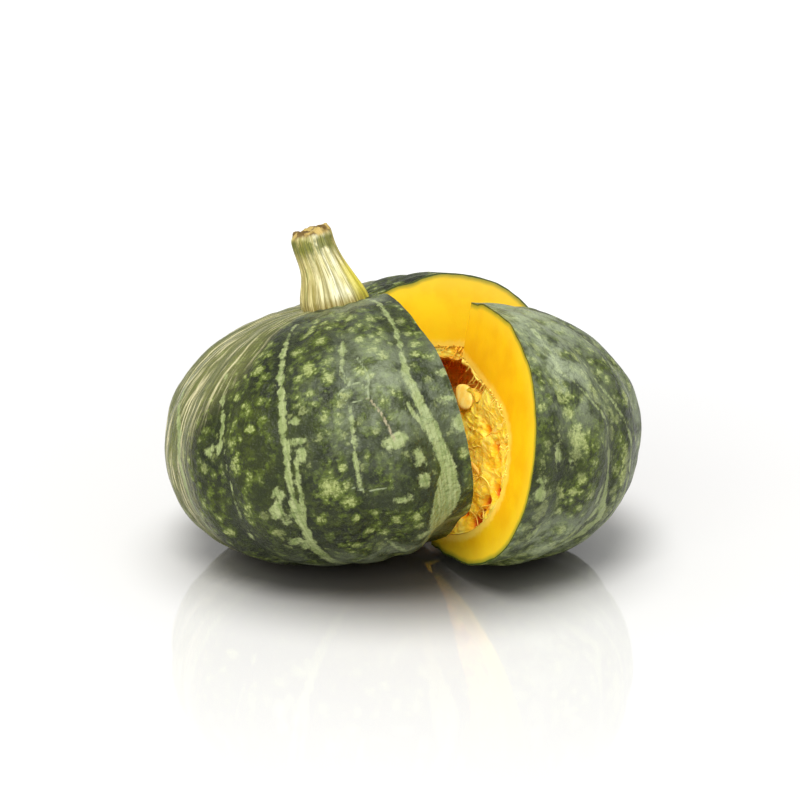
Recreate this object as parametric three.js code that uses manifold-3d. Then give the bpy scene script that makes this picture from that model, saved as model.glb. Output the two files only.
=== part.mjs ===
// A kabocha squash, cut open. A wedge of about 103 degrees is cut out beside the stem and
// stands just outside the gap that it left, on its own part of the skin. The rest of the
// squash has rolled a little away from the wedge, so its stem leans to the left.
//
// Millimetres, +Z up, X to the right across the front, Y away to the back. Both cut pieces
// rest on Z = 0, and the origin is the middle of the bottom of the whole object's box.
// Each squash piece is shaped in the squash's own upright frame, its stem axis along Z, and
// its group then tips it and sets it down.

import * as THREE from 'three';
import { mergeVertices } from 'three/addons/utils/BufferGeometryUtils.js';
import Module from 'manifold-3d';

const wasm = await Module();
wasm.setup();

// ---- the whole squash -------------------------------------------------------------------
const RADIUS = 100; // at the equator, over the ribs
const UPPER_HEIGHT = 64.5; // equator to the shoulders' crest line
const LOWER_HEIGHT = 65.3; // equator to the underside
const UPPER_SQUARENESS = 2.16; // superellipse exponents of the two halves of the profile
const LOWER_SQUARENESS = 2.29;
const STEM_DIP = { depth: 7.4, width: 32.9 }; // hollow that the stem stands in
const BLOSSOM_DIP = { depth: 6.3, width: 46.1 }; // hollow round the blossom end

// The squash is a little uneven: oval in plan, and fuller below on its right side.
const OVAL = { two: 0.018, twoAt: 26.5, three: 0.013, threeAt: 6 };
const UPPER_UNEVEN = { one: -0.023, oneAt: -146, two: 0.001, twoAt: -26 };
const LOWER_UNEVEN = { one: 0.089, oneAt: 21, two: 0.027, twoAt: 20 };

// Cheeks that are a little flatter than the rest: where they are, and by how much the
// upper and the lower side give way at a distance from the axis.
const NO_DROP = { drop: 0, radius: 50, width: 20 };
const BODY_CHEEKS = [
  { at: -62, spread: 15,
    upper: { drop: 4.2, radius: 62, width: 19 },
    lower: { drop: 9.5, radius: 66, width: 25 } },
  { at: 125, spread: 45,
    upper: { drop: 3.2, radius: 42, width: 24 },
    lower: NO_DROP },
];
const WEDGE_CHEEKS = [
  { at: 35, spread: 42,
    upper: { drop: 3, radius: 36, width: 26 },
    lower: NO_DROP },
];

const RIB_COUNT = 18;
const RIB_VALLEY = -111; // azimuth of one valley, degrees
const RIB_DEPTH = 2.6; // valley below crest, at the equator
const RIB_WAVER = 0.35; // how unlike the valleys' depths are
const RIB_FADE = 0.8; // power of the radius by which the valleys fade towards the ends
const RIB_CREST = 1.5; // power that makes the crests wider than the valleys
const RIB_DROP = 0.8; // share of a valley's depth that lowers the shoulders

// ---- the cavity -------------------------------------------------------------------------
const CAVITY_RADIUS = 71.5;
const CAVITY_CENTRE = -10; // height of its widest ring
const CAVITY_UPPER = 35; // widest ring to the roof, and to the floor
const CAVITY_LOWER = 42.5;
const CAVITY_UPPER_SQUARENESS = 3; // a flat roof
const CAVITY_LOWER_SQUARENESS = 1.9;
const CAVITY_PEAK = { height: 10, width: 26 }; // the roof's rise under the stem
const FIT_GAP = 0.3; // left between two pieces that touch

// ---- the cuts ---------------------------------------------------------------------------
const CUT_TOP = [15.75, -5.35]; // x and y where the two cuts meet, at UPPER_HEIGHT
const CUT_BOTTOM = [10.2, 1.2]; // and at -LOWER_HEIGHT
const CUT_FRONT = -70.4; // azimuths of the two cut faces, degrees
const CUT_BACK = 32.5;
const CUT_REACH = 400; // the cutting prism is longer than the squash

// ---- how the pieces lie -----------------------------------------------------------------
const BODY_TIP = { pitch: -2.1, roll: -12.7, yaw: 0 };
const WEDGE_TIP = { pitch: -5, roll: 6.4, yaw: 1.4 };
const WEDGE_SHIFT = [23.6, -10.9]; // the wedge's middle, moved out of the gap
const BODY_PLACE = [-13.45, 0.59, 63.7];
const WEDGE_LIFT = 64.1;

// ---- the stem ---------------------------------------------------------------------------
const STEM_FOOT = [-6.2, -4.2, 57.2];
const STEM_HEIGHT = 36.3;
const STEM_TOP_RADIUS = 9.6;
const STEM_FLARE = { more: 6, height: 14 }; // the foot spreads into the squash
const STEM_BEND = -2.4; // the top's shift along X
const STEM_BEND_FROM = 12; // heights between which it bends
const STEM_BEND_TO = 32;
const STEM_BUTTRESS = { more: 0.1, height: 12 }; // the foot is fuller towards +X
const STEM_RIDGES = 14;
const STEM_RIDGE_DEPTH = 0.055; // of the radius
const STEM_CUT = { slope: 0.4, at: 0, rough: 0.6 }; // the slanting cut at the top
const STEM_SHOULDER = { height: 4.5, share: 0.15 }; // rounding below the cut
const STEM_SUNK = 1.2; // the middle of the cut below its rim
const STEM_CAP = 0.9; // share of the rows that are below the cut
const STEM_ROWS = 20;
const STEM_ROOT = 12; // how far the foot runs down before it is cut to the skin

// ---- pulp and seeds ---------------------------------------------------------------------
const PULP_TOP = 20; // near the axis the wedge's pulp stops here, under an empty roof
const PULP_RISE = { height: 14, from: 34, to: 47 }; // and it fills the roof further out
const PULP_INSET = 1.2; // the pulp shrinks back from the cut faces
const PULP_PROUD = 1.5; // what grows on a cut face stands out of it this far at most
const PULP_EDGE = 7; // the cavity's rim is nearer the cuts' line than the stem axis
const LUMP_HEIGHT = 1.7;
const TOP_LUMPS = { height: 2.5, finer: 1.7 }; // of the wedge pulp's top
const LINING = { side: 13, roof: 3.8, floor: 13 }; // thickness of the body's pulp
const LINING_GROWTH = { rings: 5, lowest: -1.05, spacing: 0.42, around: 9, arc: 245 };
const SEED = { length: 17, width: 10, thick: 3.6, taper: 0.55 };
const STRAND_RADIUS = 1.1;
const GROWTH_LEVELS = 7; // rows of seeds and fibres up a cut face of the wedge's pulp
const GROWTH_SPACING = 8.6;
const GROWTH_ACROSS = 4;
const PIT_COUNT = 7; // hollows in each cut face of the wedge's pulp
const PIT_SPAN = 62; // height over which they are spread

const degrees = THREE.MathUtils.degToRad;

// ---- shapes -----------------------------------------------------------------------------

// Signed power, for superellipses: keeps the sign of the base.
function power(base, exponent) {
  return Math.sign(base) * Math.abs(base) ** exponent;
}

// The turn from one azimuth to another, from -PI to PI.
function angleBetween(from, to) {
  return Math.atan2(Math.sin(to - from), Math.cos(to - from));
}

// One or two waves round the axis, as a factor near 1.
function waves(shape, azimuth) {
  const first = shape.one * Math.cos(azimuth - degrees(shape.oneAt));
  const second = shape.two * Math.cos(2 * (azimuth - degrees(shape.twoAt)));
  return 1 + first + second;
}

// Depth of the rib valleys at an azimuth, 0 on a crest and about 1 in a valley.
function valley(azimuth) {
  const turn = (azimuth - degrees(RIB_VALLEY)) * RIB_COUNT;
  const unlike = 1 + RIB_WAVER * Math.sin(3 * azimuth + 1) * Math.cos(5 * azimuth);
  return unlike * (0.5 + 0.5 * Math.cos(turn)) ** RIB_CREST;
}

// A point of the skin. latitude runs from -PI/2 at the blossom end to PI/2 at the stem.
function skinPoint(latitude, azimuth, cheeks) {
  const upper = latitude >= 0;
  const exponent = 2 / (upper ? UPPER_SQUARENESS : LOWER_SQUARENESS);
  const radius = RADIUS * power(Math.cos(latitude), exponent);
  let height = (upper ? UPPER_HEIGHT : LOWER_HEIGHT) * power(Math.sin(latitude), exponent);
  if (upper) {
    height -= STEM_DIP.depth * Math.exp(-((radius / STEM_DIP.width) ** 2));
  } else {
    height += BLOSSOM_DIP.depth * Math.exp(-((radius / BLOSSOM_DIP.width) ** 2));
  }
  const out = radius / RADIUS;
  const oval = OVAL.two * Math.cos(2 * (azimuth - degrees(OVAL.twoAt)))
    + OVAL.three * Math.cos(3 * (azimuth - degrees(OVAL.threeAt)));
  height *= 1 + (waves(upper ? UPPER_UNEVEN : LOWER_UNEVEN, azimuth) - 1) * out;
  for (const cheek of cheeks) {
    const part = upper ? cheek.upper : cheek.lower;
    const aside = angleBetween(azimuth, degrees(cheek.at)) / degrees(cheek.spread);
    const off = (radius - part.radius) / part.width;
    height -= Math.sign(height) * part.drop * Math.exp(-(aside ** 2) - off ** 2);
  }
  const ribbed = RIB_DEPTH * valley(azimuth) * out ** RIB_FADE;
  const reach = radius * (1 + oval * out) - ribbed * Math.cos(latitude);
  height -= Math.sign(height) * ribbed * Math.abs(Math.sin(latitude)) * RIB_DROP;
  return [reach * Math.cos(azimuth), reach * Math.sin(azimuth), height];
}

// A point of the cavity's wall, drawn in by inset.
function cavityPoint(latitude, azimuth, inset) {
  const upper = latitude >= 0;
  const exponent = 2 / (upper ? CAVITY_UPPER_SQUARENESS : CAVITY_LOWER_SQUARENESS);
  const tall = (upper ? CAVITY_UPPER : CAVITY_LOWER) - inset;
  const reach = (CAVITY_RADIUS - inset) * power(Math.cos(latitude), exponent);
  const peak = upper ? CAVITY_PEAK.height * Math.exp(-((reach / CAVITY_PEAK.width) ** 2)) : 0;
  const height = CAVITY_CENTRE + tall * power(Math.sin(latitude), exponent) + peak;
  return [reach * Math.cos(azimuth), reach * Math.sin(azimuth), height];
}

// A closed surface from a grid of points: rows of latitude, columns of azimuth, two poles.
function closedGrid(rows, columns, pointAt) {
  const positions = [...pointAt(-Math.PI / 2, 0)];
  for (let row = 1; row < rows; row += 1) {
    for (let column = 0; column < columns; column += 1) {
      const latitude = -Math.PI / 2 + (Math.PI * row) / rows;
      positions.push(...pointAt(latitude, (2 * Math.PI * column) / columns));
    }
  }
  positions.push(...pointAt(Math.PI / 2, 0));
  const top = positions.length / 3 - 1;
  const at = (row, column) => 1 + (row - 1) * columns + (column % columns);
  const index = [];
  for (let column = 0; column < columns; column += 1) {
    index.push(0, at(1, column + 1), at(1, column));
    index.push(top, at(rows - 1, column), at(rows - 1, column + 1));
    for (let row = 1; row < rows - 1; row += 1) {
      index.push(at(row, column), at(row, column + 1), at(row + 1, column));
      index.push(at(row, column + 1), at(row + 1, column + 1), at(row + 1, column));
    }
  }
  const geometry = new THREE.BufferGeometry();
  geometry.setAttribute('position', new THREE.Float32BufferAttribute(positions, 3));
  geometry.setIndex(index);
  return geometry;
}

// ---- solids -----------------------------------------------------------------------------

function solidFrom(geometry) {
  const bare = geometry.clone();
  bare.deleteAttribute('normal');
  bare.deleteAttribute('uv');
  const merged = mergeVertices(bare, 1e-4);
  const mesh = new wasm.Mesh({
    numProp: 3,
    vertProperties: new Float32Array(merged.attributes.position.array),
    triVerts: new Uint32Array(merged.index.array),
  });
  return new wasm.Manifold(mesh);
}

function meshFrom(name, solid, material) {
  const { vertProperties, triVerts } = solid.getMesh();
  const geometry = new THREE.BufferGeometry();
  geometry.setAttribute('position', new THREE.Float32BufferAttribute(vertProperties, 3));
  geometry.setIndex(Array.from(triVerts));
  geometry.computeVertexNormals();
  const mesh = new THREE.Mesh(geometry, material);
  mesh.name = name;
  return mesh;
}

// The largest connected piece of a solid, without the scraps that a cut leaves.
function mainPiece(solid) {
  const pieces = solid.decompose();
  return pieces.reduce((best, piece) => (piece.volume() > best.volume() ? piece : best));
}

// The prism between the two cuts. Its edge is the slanting line where they meet; shrink
// moves both faces into the prism.
function wedgePrism(shrink) {
  const middle = degrees((CUT_FRONT + CUT_BACK) / 2);
  const half = degrees((CUT_BACK - CUT_FRONT) / 2);
  const outline = new THREE.Shape();
  const back = shrink / Math.sin(half);
  const tip = [back * Math.cos(middle), back * Math.sin(middle)];
  outline.moveTo(tip[0], tip[1]);
  for (const azimuth of [degrees(CUT_FRONT), middle, degrees(CUT_BACK)]) {
    const reach = azimuth === middle ? CUT_REACH * 1.5 : CUT_REACH;
    outline.lineTo(tip[0] + reach * Math.cos(azimuth), tip[1] + reach * Math.sin(azimuth));
  }
  const prism = new THREE.ExtrudeGeometry(outline, { depth: 2 * CUT_REACH, bevelEnabled: false });
  prism.translate(0, 0, -CUT_REACH);
  const tall = UPPER_HEIGHT + LOWER_HEIGHT;
  const slantX = (CUT_TOP[0] - CUT_BOTTOM[0]) / tall;
  const slantY = (CUT_TOP[1] - CUT_BOTTOM[1]) / tall;
  prism.applyMatrix4(new THREE.Matrix4().set(
    1, 0, slantX, CUT_BOTTOM[0] + slantX * LOWER_HEIGHT,
    0, 1, slantY, CUT_BOTTOM[1] + slantY * LOWER_HEIGHT,
    0, 0, 1, 0,
    0, 0, 0, 1,
  ));
  return solidFrom(prism);
}

function skinSolid(cheeks) {
  return solidFrom(closedGrid(26, 72, (latitude, azimuth) => skinPoint(latitude, azimuth, cheeks)));
}

function cavitySolid(inset) {
  return solidFrom(closedGrid(14, 32, (latitude, azimuth) => cavityPoint(latitude, azimuth, inset)));
}

// ---- pulp -------------------------------------------------------------------------------

// A repeatable stream of numbers from 0 to 1.
function seededDraw(seed) {
  let state = seed;
  return () => {
    state = (state * 1664525 + 1013904223) % 4294967296;
    return state / 4294967296;
  };
}

// Rounded swellings that run together, about -1 to 1.
function lumps(x, y, z) {
  const wide = Math.sin(x * 0.21 + 1.3 * Math.sin(z * 0.13)) * Math.cos(y * 0.19 + z * 0.07);
  const fine = Math.sin(x * 0.47 + y * 0.38) * Math.cos(z * 0.51 - y * 0.2);
  return 0.6 * wide + 0.4 * fine;
}

// The cavity's form, drawn in and swollen by lumps.
function lumpyCavity(insetAt, rows, columns) {
  return solidFrom(closedGrid(rows, columns, (latitude, azimuth) => {
    const [x, y, z] = cavityPoint(latitude, azimuth, 0);
    const inset = insetAt(latitude) + LUMP_HEIGHT * lumps(x, y, z);
    return cavityPoint(latitude, azimuth, inset);
  }));
}

// A flat seed, round at one end and drawn to a point at the other, along X.
function seedShape(size) {
  const seed = new THREE.SphereGeometry(0.5, 7, 4);
  seed.rotateX(Math.PI / 2);
  const position = seed.attributes.position;
  for (let i = 0; i < position.count; i += 1) {
    const along = position.getX(i);
    const narrow = 1 - SEED.taper * Math.max(0, along + 0.1);
    position.setXYZ(
      i,
      along * SEED.length * size,
      position.getY(i) * SEED.width * size * narrow,
      position.getZ(i) * SEED.thick * size * narrow,
    );
  }
  return seed;
}

// A fibre: a bent spindle of four sides along X.
function strandShape(length, bend) {
  return closedGrid(5, 4, (latitude, azimuth) => {
    const along = Math.sin(latitude) / 2;
    const around = STRAND_RADIUS * Math.max(Math.cos(latitude), 0) ** 0.6;
    return [
      along * length,
      around * Math.cos(azimuth),
      around * Math.sin(azimuth) + bend * (1 - 4 * along * along),
    ];
  });
}

// Sets a shape at a point, its X axis along a direction and turned about it.
function placed(geometry, at, direction, turn) {
  const along = new THREE.Quaternion();
  along.setFromUnitVectors(new THREE.Vector3(1, 0, 0), direction.clone().normalize());
  const roll = new THREE.Quaternion().setFromAxisAngle(new THREE.Vector3(1, 0, 0), turn);
  geometry.applyQuaternion(roll);
  geometry.applyQuaternion(along);
  geometry.translate(at.x, at.y, at.z);
  return solidFrom(geometry);
}

// A point under a cut face of the wedge: its distance from the line where the cuts meet,
// its height, and its depth below the face.
function cutPoint(face, away, height, depth) {
  const azimuth = degrees(face.azimuth);
  const share = (height + LOWER_HEIGHT) / (UPPER_HEIGHT + LOWER_HEIGHT);
  return new THREE.Vector3(
    CUT_BOTTOM[0] + share * (CUT_TOP[0] - CUT_BOTTOM[0]) + away * Math.cos(azimuth)
      - depth * face.inward * Math.sin(azimuth),
    CUT_BOTTOM[1] + share * (CUT_TOP[1] - CUT_BOTTOM[1]) + away * Math.sin(azimuth)
      + depth * face.inward * Math.cos(azimuth),
    height,
  );
}

// How far the pulp reaches from the line of the cuts at a height.
function pulpReach(height) {
  const upper = height >= CAVITY_CENTRE;
  const squareness = upper ? CAVITY_UPPER_SQUARENESS : CAVITY_LOWER_SQUARENESS;
  const rise = Math.abs(height - CAVITY_CENTRE) / (upper ? CAVITY_UPPER : CAVITY_LOWER);
  const share = Math.max(0, 1 - rise ** squareness) ** (1 / squareness);
  return Math.max(0, CAVITY_RADIUS * share - PULP_EDGE);
}

// Hollows between the fibres, to be cut out of a face of the wedge's pulp.
function facePits(face) {
  const draw = seededDraw(face.seed + 1);
  const pits = [];
  for (let step = 0; step < PIT_COUNT; step += 1) {
    const height = PULP_TOP - 4 - (PIT_SPAN * (step + draw())) / PIT_COUNT;
    const away = pulpReach(height) * (0.25 + 0.75 * draw());
    const pit = new THREE.SphereGeometry(1, 6, 4);
    pit.scale(4 + 3 * draw(), 3 + 2 * draw(), 3 + 2 * draw());
    const at = cutPoint(face, away, height, 1);
    pits.push(placed(pit, at, new THREE.Vector3(draw(), draw(), draw()), 0));
  }
  return pits;
}

// Seeds and fibres that stand out of a cut face of the wedge's pulp.
function faceGrowth(face) {
  const draw = seededDraw(face.seed);
  const azimuth = degrees(face.azimuth);
  const across = new THREE.Vector3(Math.cos(azimuth), Math.sin(azimuth), 0);
  const growth = [];
  for (let level = 0; level < GROWTH_LEVELS; level += 1) {
    const height = PULP_TOP - 6 - level * GROWTH_SPACING;
    const widest = pulpReach(height);
    for (let step = 0; step < GROWTH_ACROSS; step += 1) {
      const away = (widest * (step + 0.3 + 0.5 * draw())) / GROWTH_ACROSS;
      const at = cutPoint(face, away, height + 3 * (draw() - 0.5), PULP_INSET + 0.3);
      const direction = across.clone().multiplyScalar(1 + draw());
      direction.z = 1.2 * (draw() - 0.5) + height / 60;
      if ((level + step) % 3 === 0) {
        growth.push(placed(seedShape(0.75 + 0.25 * draw()), at, direction, 1.2 * (draw() - 0.5)));
      } else {
        const strand = strandShape(9 + 8 * draw(), 2 * (draw() - 0.5));
        growth.push(placed(strand, at, direction, 6.28 * draw()));
      }
    }
  }
  return growth;
}

// Seeds and fibres on the lining of the body's cavity, leaning in from the wall.
function liningGrowth(seed) {
  const draw = seededDraw(seed);
  const growth = [];
  for (let ring = 0; ring < LINING_GROWTH.rings; ring += 1) {
    const latitude = LINING_GROWTH.lowest + LINING_GROWTH.spacing * ring;
    for (let step = 0; step < LINING_GROWTH.around; step += 1) {
      const turn = (LINING_GROWTH.arc * (step + 0.6 * draw())) / LINING_GROWTH.around;
      const azimuth = degrees(CUT_BACK + 6 + turn);
      const inset = ring === LINING_GROWTH.rings - 1 ? LINING.roof : LINING.side;
      const [x, y, z] = cavityPoint(latitude, azimuth, inset + 1);
      const direction = new THREE.Vector3(-x, -y, -0.6 * z).normalize();
      direction.x += 0.5 * (draw() - 0.5);
      direction.y += 0.5 * (draw() - 0.5);
      direction.z += 0.9 * (draw() - 0.5);
      const at = new THREE.Vector3(x, y, z);
      if (step % 2 === ring % 2) {
        growth.push(placed(seedShape(0.8 + 0.2 * draw()), at, direction, 3 * draw()));
      } else {
        growth.push(placed(strandShape(12 + 8 * draw(), 3 * draw()), at, direction, 6 * draw()));
      }
    }
  }
  return growth;
}

function wedgePulpSolid() {
  const lumpyTop = closedGrid(12, 32, (latitude, azimuth) => {
    const [x, y, z] = cavityPoint(latitude, azimuth, 0.5);
    const swell = lumps(TOP_LUMPS.finer * x, TOP_LUMPS.finer * y, 4);
    const rise = THREE.MathUtils.smoothstep(Math.hypot(x, y), PULP_RISE.from, PULP_RISE.to);
    const top = PULP_TOP - 3 + TOP_LUMPS.height * swell + PULP_RISE.height * rise;
    return [x, y, Math.min(z, top)];
  });
  let pulp = solidFrom(lumpyTop).intersect(wedgePrism(PULP_INSET));
  const faces = [
    { azimuth: CUT_FRONT, inward: 1, seed: 11 },
    { azimuth: CUT_BACK, inward: -1, seed: 23 },
  ];
  for (const face of faces) {
    for (const pit of facePits(face)) {
      pulp = pulp.subtract(pit);
    }
    for (const piece of faceGrowth(face)) {
      pulp = pulp.add(piece);
    }
  }
  pulp = pulp.intersect(cavitySolid(FIT_GAP)).intersect(wedgePrism(-PULP_PROUD));
  return mainPiece(pulp);
}

function bodyPulpSolid() {
  const insetAt = (latitude) => {
    const upper = Math.max(0, Math.sin(latitude));
    const lower = Math.max(0, -Math.sin(latitude));
    return LINING.side + (LINING.roof - LINING.side) * upper + (LINING.floor - LINING.side) * lower;
  };
  let pulp = cavitySolid(FIT_GAP).subtract(lumpyCavity(insetAt, 12, 28));
  for (const piece of liningGrowth(5)) {
    pulp = pulp.add(piece);
  }
  return mainPiece(pulp.intersect(cavitySolid(FIT_GAP)).subtract(wedgePrism(-PULP_INSET)));
}

// ---- stem -------------------------------------------------------------------------------

function stemPoint(latitude, azimuth) {
  const share = (latitude + Math.PI / 2) / Math.PI;
  const ridge = 1 + STEM_RIDGE_DEPTH * Math.cos(STEM_RIDGES * azimuth + 0.6 * Math.sin(2 * azimuth));
  const cut = STEM_HEIGHT + STEM_CUT.slope * Math.cos(azimuth - degrees(STEM_CUT.at))
    + STEM_CUT.rough * Math.sin(5 * azimuth);
  const height = -STEM_ROOT + (cut + STEM_ROOT) * Math.min(share / STEM_CAP, 1);
  const up = Math.max(height, 0);
  const flare = STEM_FLARE.more * Math.exp(-((up / STEM_FLARE.height) ** 2));
  const fuller = STEM_BUTTRESS.more * Math.exp(-up / STEM_BUTTRESS.height);
  const shoulder = THREE.MathUtils.smoothstep(height, cut - STEM_SHOULDER.height, cut);
  let reach = (STEM_TOP_RADIUS + flare) * ridge * (1 + fuller * Math.cos(azimuth));
  reach *= 1 - STEM_SHOULDER.share * shoulder ** 2;
  const past = Math.max(share - STEM_CAP, 0) / (1 - STEM_CAP);
  reach *= share === 0 ? 0 : 1 - past;
  const bend = STEM_BEND * THREE.MathUtils.smoothstep(up, STEM_BEND_FROM, STEM_BEND_TO);
  return [
    STEM_FOOT[0] + bend + reach * Math.cos(azimuth),
    STEM_FOOT[1] + reach * Math.sin(azimuth),
    STEM_FOOT[2] + (share === 1 ? STEM_HEIGHT : height) - STEM_SUNK * past,
  ];
}

function stemSolid() {
  const skinBelow = closedGrid(26, 72, (latitude, azimuth) => {
    const [x, y, z] = skinPoint(latitude, azimuth, BODY_CHEEKS);
    return [x, y, z + FIT_GAP];
  });
  return solidFrom(closedGrid(STEM_ROWS, 3 * STEM_RIDGES, stemPoint)).subtract(solidFrom(skinBelow));
}

// ---- materials --------------------------------------------------------------------------

function finish(colour, roughness) {
  return new THREE.MeshStandardMaterial({ color: colour, roughness, metalness: 0 });
}

const skinFinish = finish(0x3f5232, 0.45);
const wedgeFinish = finish(0x4a5d3a, 0.45);
const pulpFinish = finish(0xf2a92c, 0.4);
const stemFinish = finish(0xb9a867, 0.75);

// ---- setting down -----------------------------------------------------------------------

function tippedGroup(tip, place) {
  const group = new THREE.Group();
  group.rotation.set(degrees(tip.pitch), degrees(tip.roll), degrees(tip.yaw), 'YXZ');
  group.position.set(...place);
  group.updateMatrixWorld(true);
  return group;
}

// Everything under Z = 0, in a group's own frame.
function groundIn(group) {
  const ground = new THREE.BoxGeometry(600, 600, 100);
  ground.translate(0, 0, -50);
  ground.applyMatrix4(group.matrixWorld.clone().invert());
  return solidFrom(ground);
}

const bodyGroup = tippedGroup(BODY_TIP, BODY_PLACE);

// The wedge turns about the middle of the line where the cuts meet.
const pivot = new THREE.Vector3(
  (CUT_TOP[0] + CUT_BOTTOM[0]) / 2,
  (CUT_TOP[1] + CUT_BOTTOM[1]) / 2,
  (UPPER_HEIGHT - LOWER_HEIGHT) / 2,
);
const wedgeGroup = tippedGroup(WEDGE_TIP, [0, 0, 0]);
const turnedPivot = pivot.clone().applyEuler(wedgeGroup.rotation);
wedgeGroup.position.set(
  pivot.x + WEDGE_SHIFT[0] + BODY_PLACE[0] - turnedPivot.x,
  pivot.y + WEDGE_SHIFT[1] + BODY_PLACE[1] - turnedPivot.y,
  pivot.z + WEDGE_LIFT - turnedPivot.z,
);
wedgeGroup.updateMatrixWorld(true);

const bodySolid = skinSolid(BODY_CHEEKS).subtract(cavitySolid(0)).subtract(wedgePrism(0));
const wedgeSolid = skinSolid(WEDGE_CHEEKS).subtract(cavitySolid(0)).intersect(wedgePrism(0));

bodyGroup.add(meshFrom('squash_body', bodySolid.subtract(groundIn(bodyGroup)), skinFinish));
bodyGroup.add(meshFrom('body_pulp', bodyPulpSolid(), pulpFinish));
bodyGroup.add(meshFrom('stem', stemSolid(), stemFinish));
wedgeGroup.add(meshFrom('squash_wedge', wedgeSolid.subtract(groundIn(wedgeGroup)), wedgeFinish));
wedgeGroup.add(meshFrom('wedge_pulp', wedgePulpSolid(), pulpFinish));

const squash = new THREE.Group();
squash.add(bodyGroup, wedgeGroup);

export default squash;
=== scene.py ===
"""A kabocha squash, cut open: the squash with its stem, and the wedge cut out of it.

Each cut piece is shaped in its own upright frame, in millimetres, with the stem axis along
Z. Its points are then tipped, set down and turned into metres.
"""

import math

import bmesh
import bpy
import numpy as np
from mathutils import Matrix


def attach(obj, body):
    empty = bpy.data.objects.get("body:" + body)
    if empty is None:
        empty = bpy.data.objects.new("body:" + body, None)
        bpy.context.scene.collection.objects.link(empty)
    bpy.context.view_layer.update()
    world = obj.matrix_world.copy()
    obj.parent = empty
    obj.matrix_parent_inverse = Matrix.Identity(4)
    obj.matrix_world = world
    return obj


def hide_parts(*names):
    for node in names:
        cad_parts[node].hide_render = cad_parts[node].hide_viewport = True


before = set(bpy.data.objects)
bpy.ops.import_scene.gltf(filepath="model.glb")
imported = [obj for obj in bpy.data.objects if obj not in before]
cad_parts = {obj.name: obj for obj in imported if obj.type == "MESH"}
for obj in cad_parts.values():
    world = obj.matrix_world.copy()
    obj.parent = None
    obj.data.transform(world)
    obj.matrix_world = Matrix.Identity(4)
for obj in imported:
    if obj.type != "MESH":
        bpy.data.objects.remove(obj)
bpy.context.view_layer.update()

MM = 0.001
TURN = 2 * math.pi
LATTICE = 32  # points a side in a table of noise
HALVINGS = 40
MERGE_STEPS = 1e6  # points in the same millionth of a metre become one

# ---- the whole squash, in millimetres and degrees ----
RADIUS = 100.0
# Pairs are for above and below the widest ring.
HEIGHT = (64.5, 65.3)
SQUARENESS = (2.16, 2.29)
STEM_DIP = (7.4, 32.9)  # depth, width
BLOSSOM_DIP = (6.3, 46.1)
OVAL = ((2, 0.018, 26.5), (3, 0.013, 6.0))  # waves round the axis, share, azimuth
UPPER_UNEVEN = ((1, -0.023, -146.0), (2, 0.001, -26.0))
LOWER_UNEVEN = ((1, 0.089, 21.0), (2, 0.027, 20.0))

# Flatter cheeks: azimuth, spread, then drop, radius and width of the upper and lower side.
BODY_CHEEKS = (
    (-62.0, 15.0, (4.2, 62.0, 19.0), (9.5, 66.0, 25.0)),
    (125.0, 45.0, (3.2, 42.0, 24.0), (0.0, 50.0, 20.0)),
)
WEDGE_CHEEKS = ((35.0, 42.0, (3.0, 36.0, 26.0), (0.0, 50.0, 20.0)),)

RIB_COUNT = 18
RIB_VALLEY = -111.0  # azimuth of one of the valleys
RIB_DEPTH = 2.6
RIB_WAVER = 0.35  # how unlike the valleys are in depth
RIB_FADE = 0.8  # exponent by which they fade towards the axis
RIB_CREST = 1.5  # exponent that narrows them
RIB_DROP = 0.8  # share of the depth that they have near the ends

# ---- the cavity ----
CAVITY_RADIUS = 71.5
CAVITY_CENTRE = -10.0
CAVITY_HEIGHT = (35.0, 42.5)
CAVITY_SQUARENESS = (3.0, 1.9)
CAVITY_PEAK = (10.0, 26.0)  # the roof's rise under the stem, and its width
FIT_GAP = 0.3

# ---- the cuts ----
CUT_TOP = np.array([15.75, -5.35])
CUT_BOTTOM = np.array([10.2, 1.2])
CUT_FRONT = math.radians(-70.4)
CUT_BACK = math.radians(32.5)

# ---- how the pieces lie: pitch, roll and yaw ----
BODY_TIP = (-2.1, -12.7, 0.0)
WEDGE_TIP = (-5.0, 6.4, 1.4)
WEDGE_SHIFT = (23.6, -10.9)  # how far the wedge was moved out of its notch
BODY_PLACE = np.array([-13.45, 0.59, 63.7])
WEDGE_LIFT = 64.1

# ---- the stem ----
STEM_FOOT = np.array([-6.2, -4.2, 57.2])
STEM_HEIGHT = 36.3
STEM_TOP_RADIUS = 9.6
STEM_FLARE = (6.0, 14.0)  # more radius at the foot, and the height it dies away over
STEM_BEND = -2.4
STEM_RIDGES = 14
STEM_RIDGE_DEPTH = 0.055
STEM_CUT = (0.4, 0.0, 0.6)  # slope, azimuth, roughness
STEM_SHOULDER = (4.5, 0.15)  # height of the rounding below the cut, and its share
STEM_SUNK = 1.2  # how deep the middle of its end is sunk
STEM_CAP = 0.9  # share at which the end's rim is
STEM_ROOT = 12.0  # length below the foot, inside the squash

# ---- pulp and seeds ----
PULP_TOP = 20.0  # height of the wedge pulp's top near the cuts' line
PULP_RISE = (14.0, 34.0, 47.0)  # rise of its top, and the radii it rises between
LINING = (13.0, 3.8, 13.0)  # thickness at the sides, roof and floor
PULP_EDGE = 7.0  # the cavity's rim is so much nearer the cuts' line than the axis
SEED = (17.0, 10.0, 3.6)  # length, width and thickness


# ---- shapes ----
def power(base, exponent):
    """Signed power: the sign of the base times its size to the exponent."""
    return np.sign(base) * np.abs(base) ** exponent


def smooth(value, low, high):
    """0 below low, 1 above high, and an S curve between."""
    share = np.clip((value - low) / (high - low), 0.0, 1.0)
    return share * share * (3.0 - 2.0 * share)


def bell(value):
    """1 at 0, falling off to both sides: exp(-value squared)."""
    return np.exp(-value ** 2)


def unit(vectors):
    """Vectors brought to length 1."""
    return vectors / np.linalg.norm(vectors, axis=-1, keepdims=True)


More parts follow.
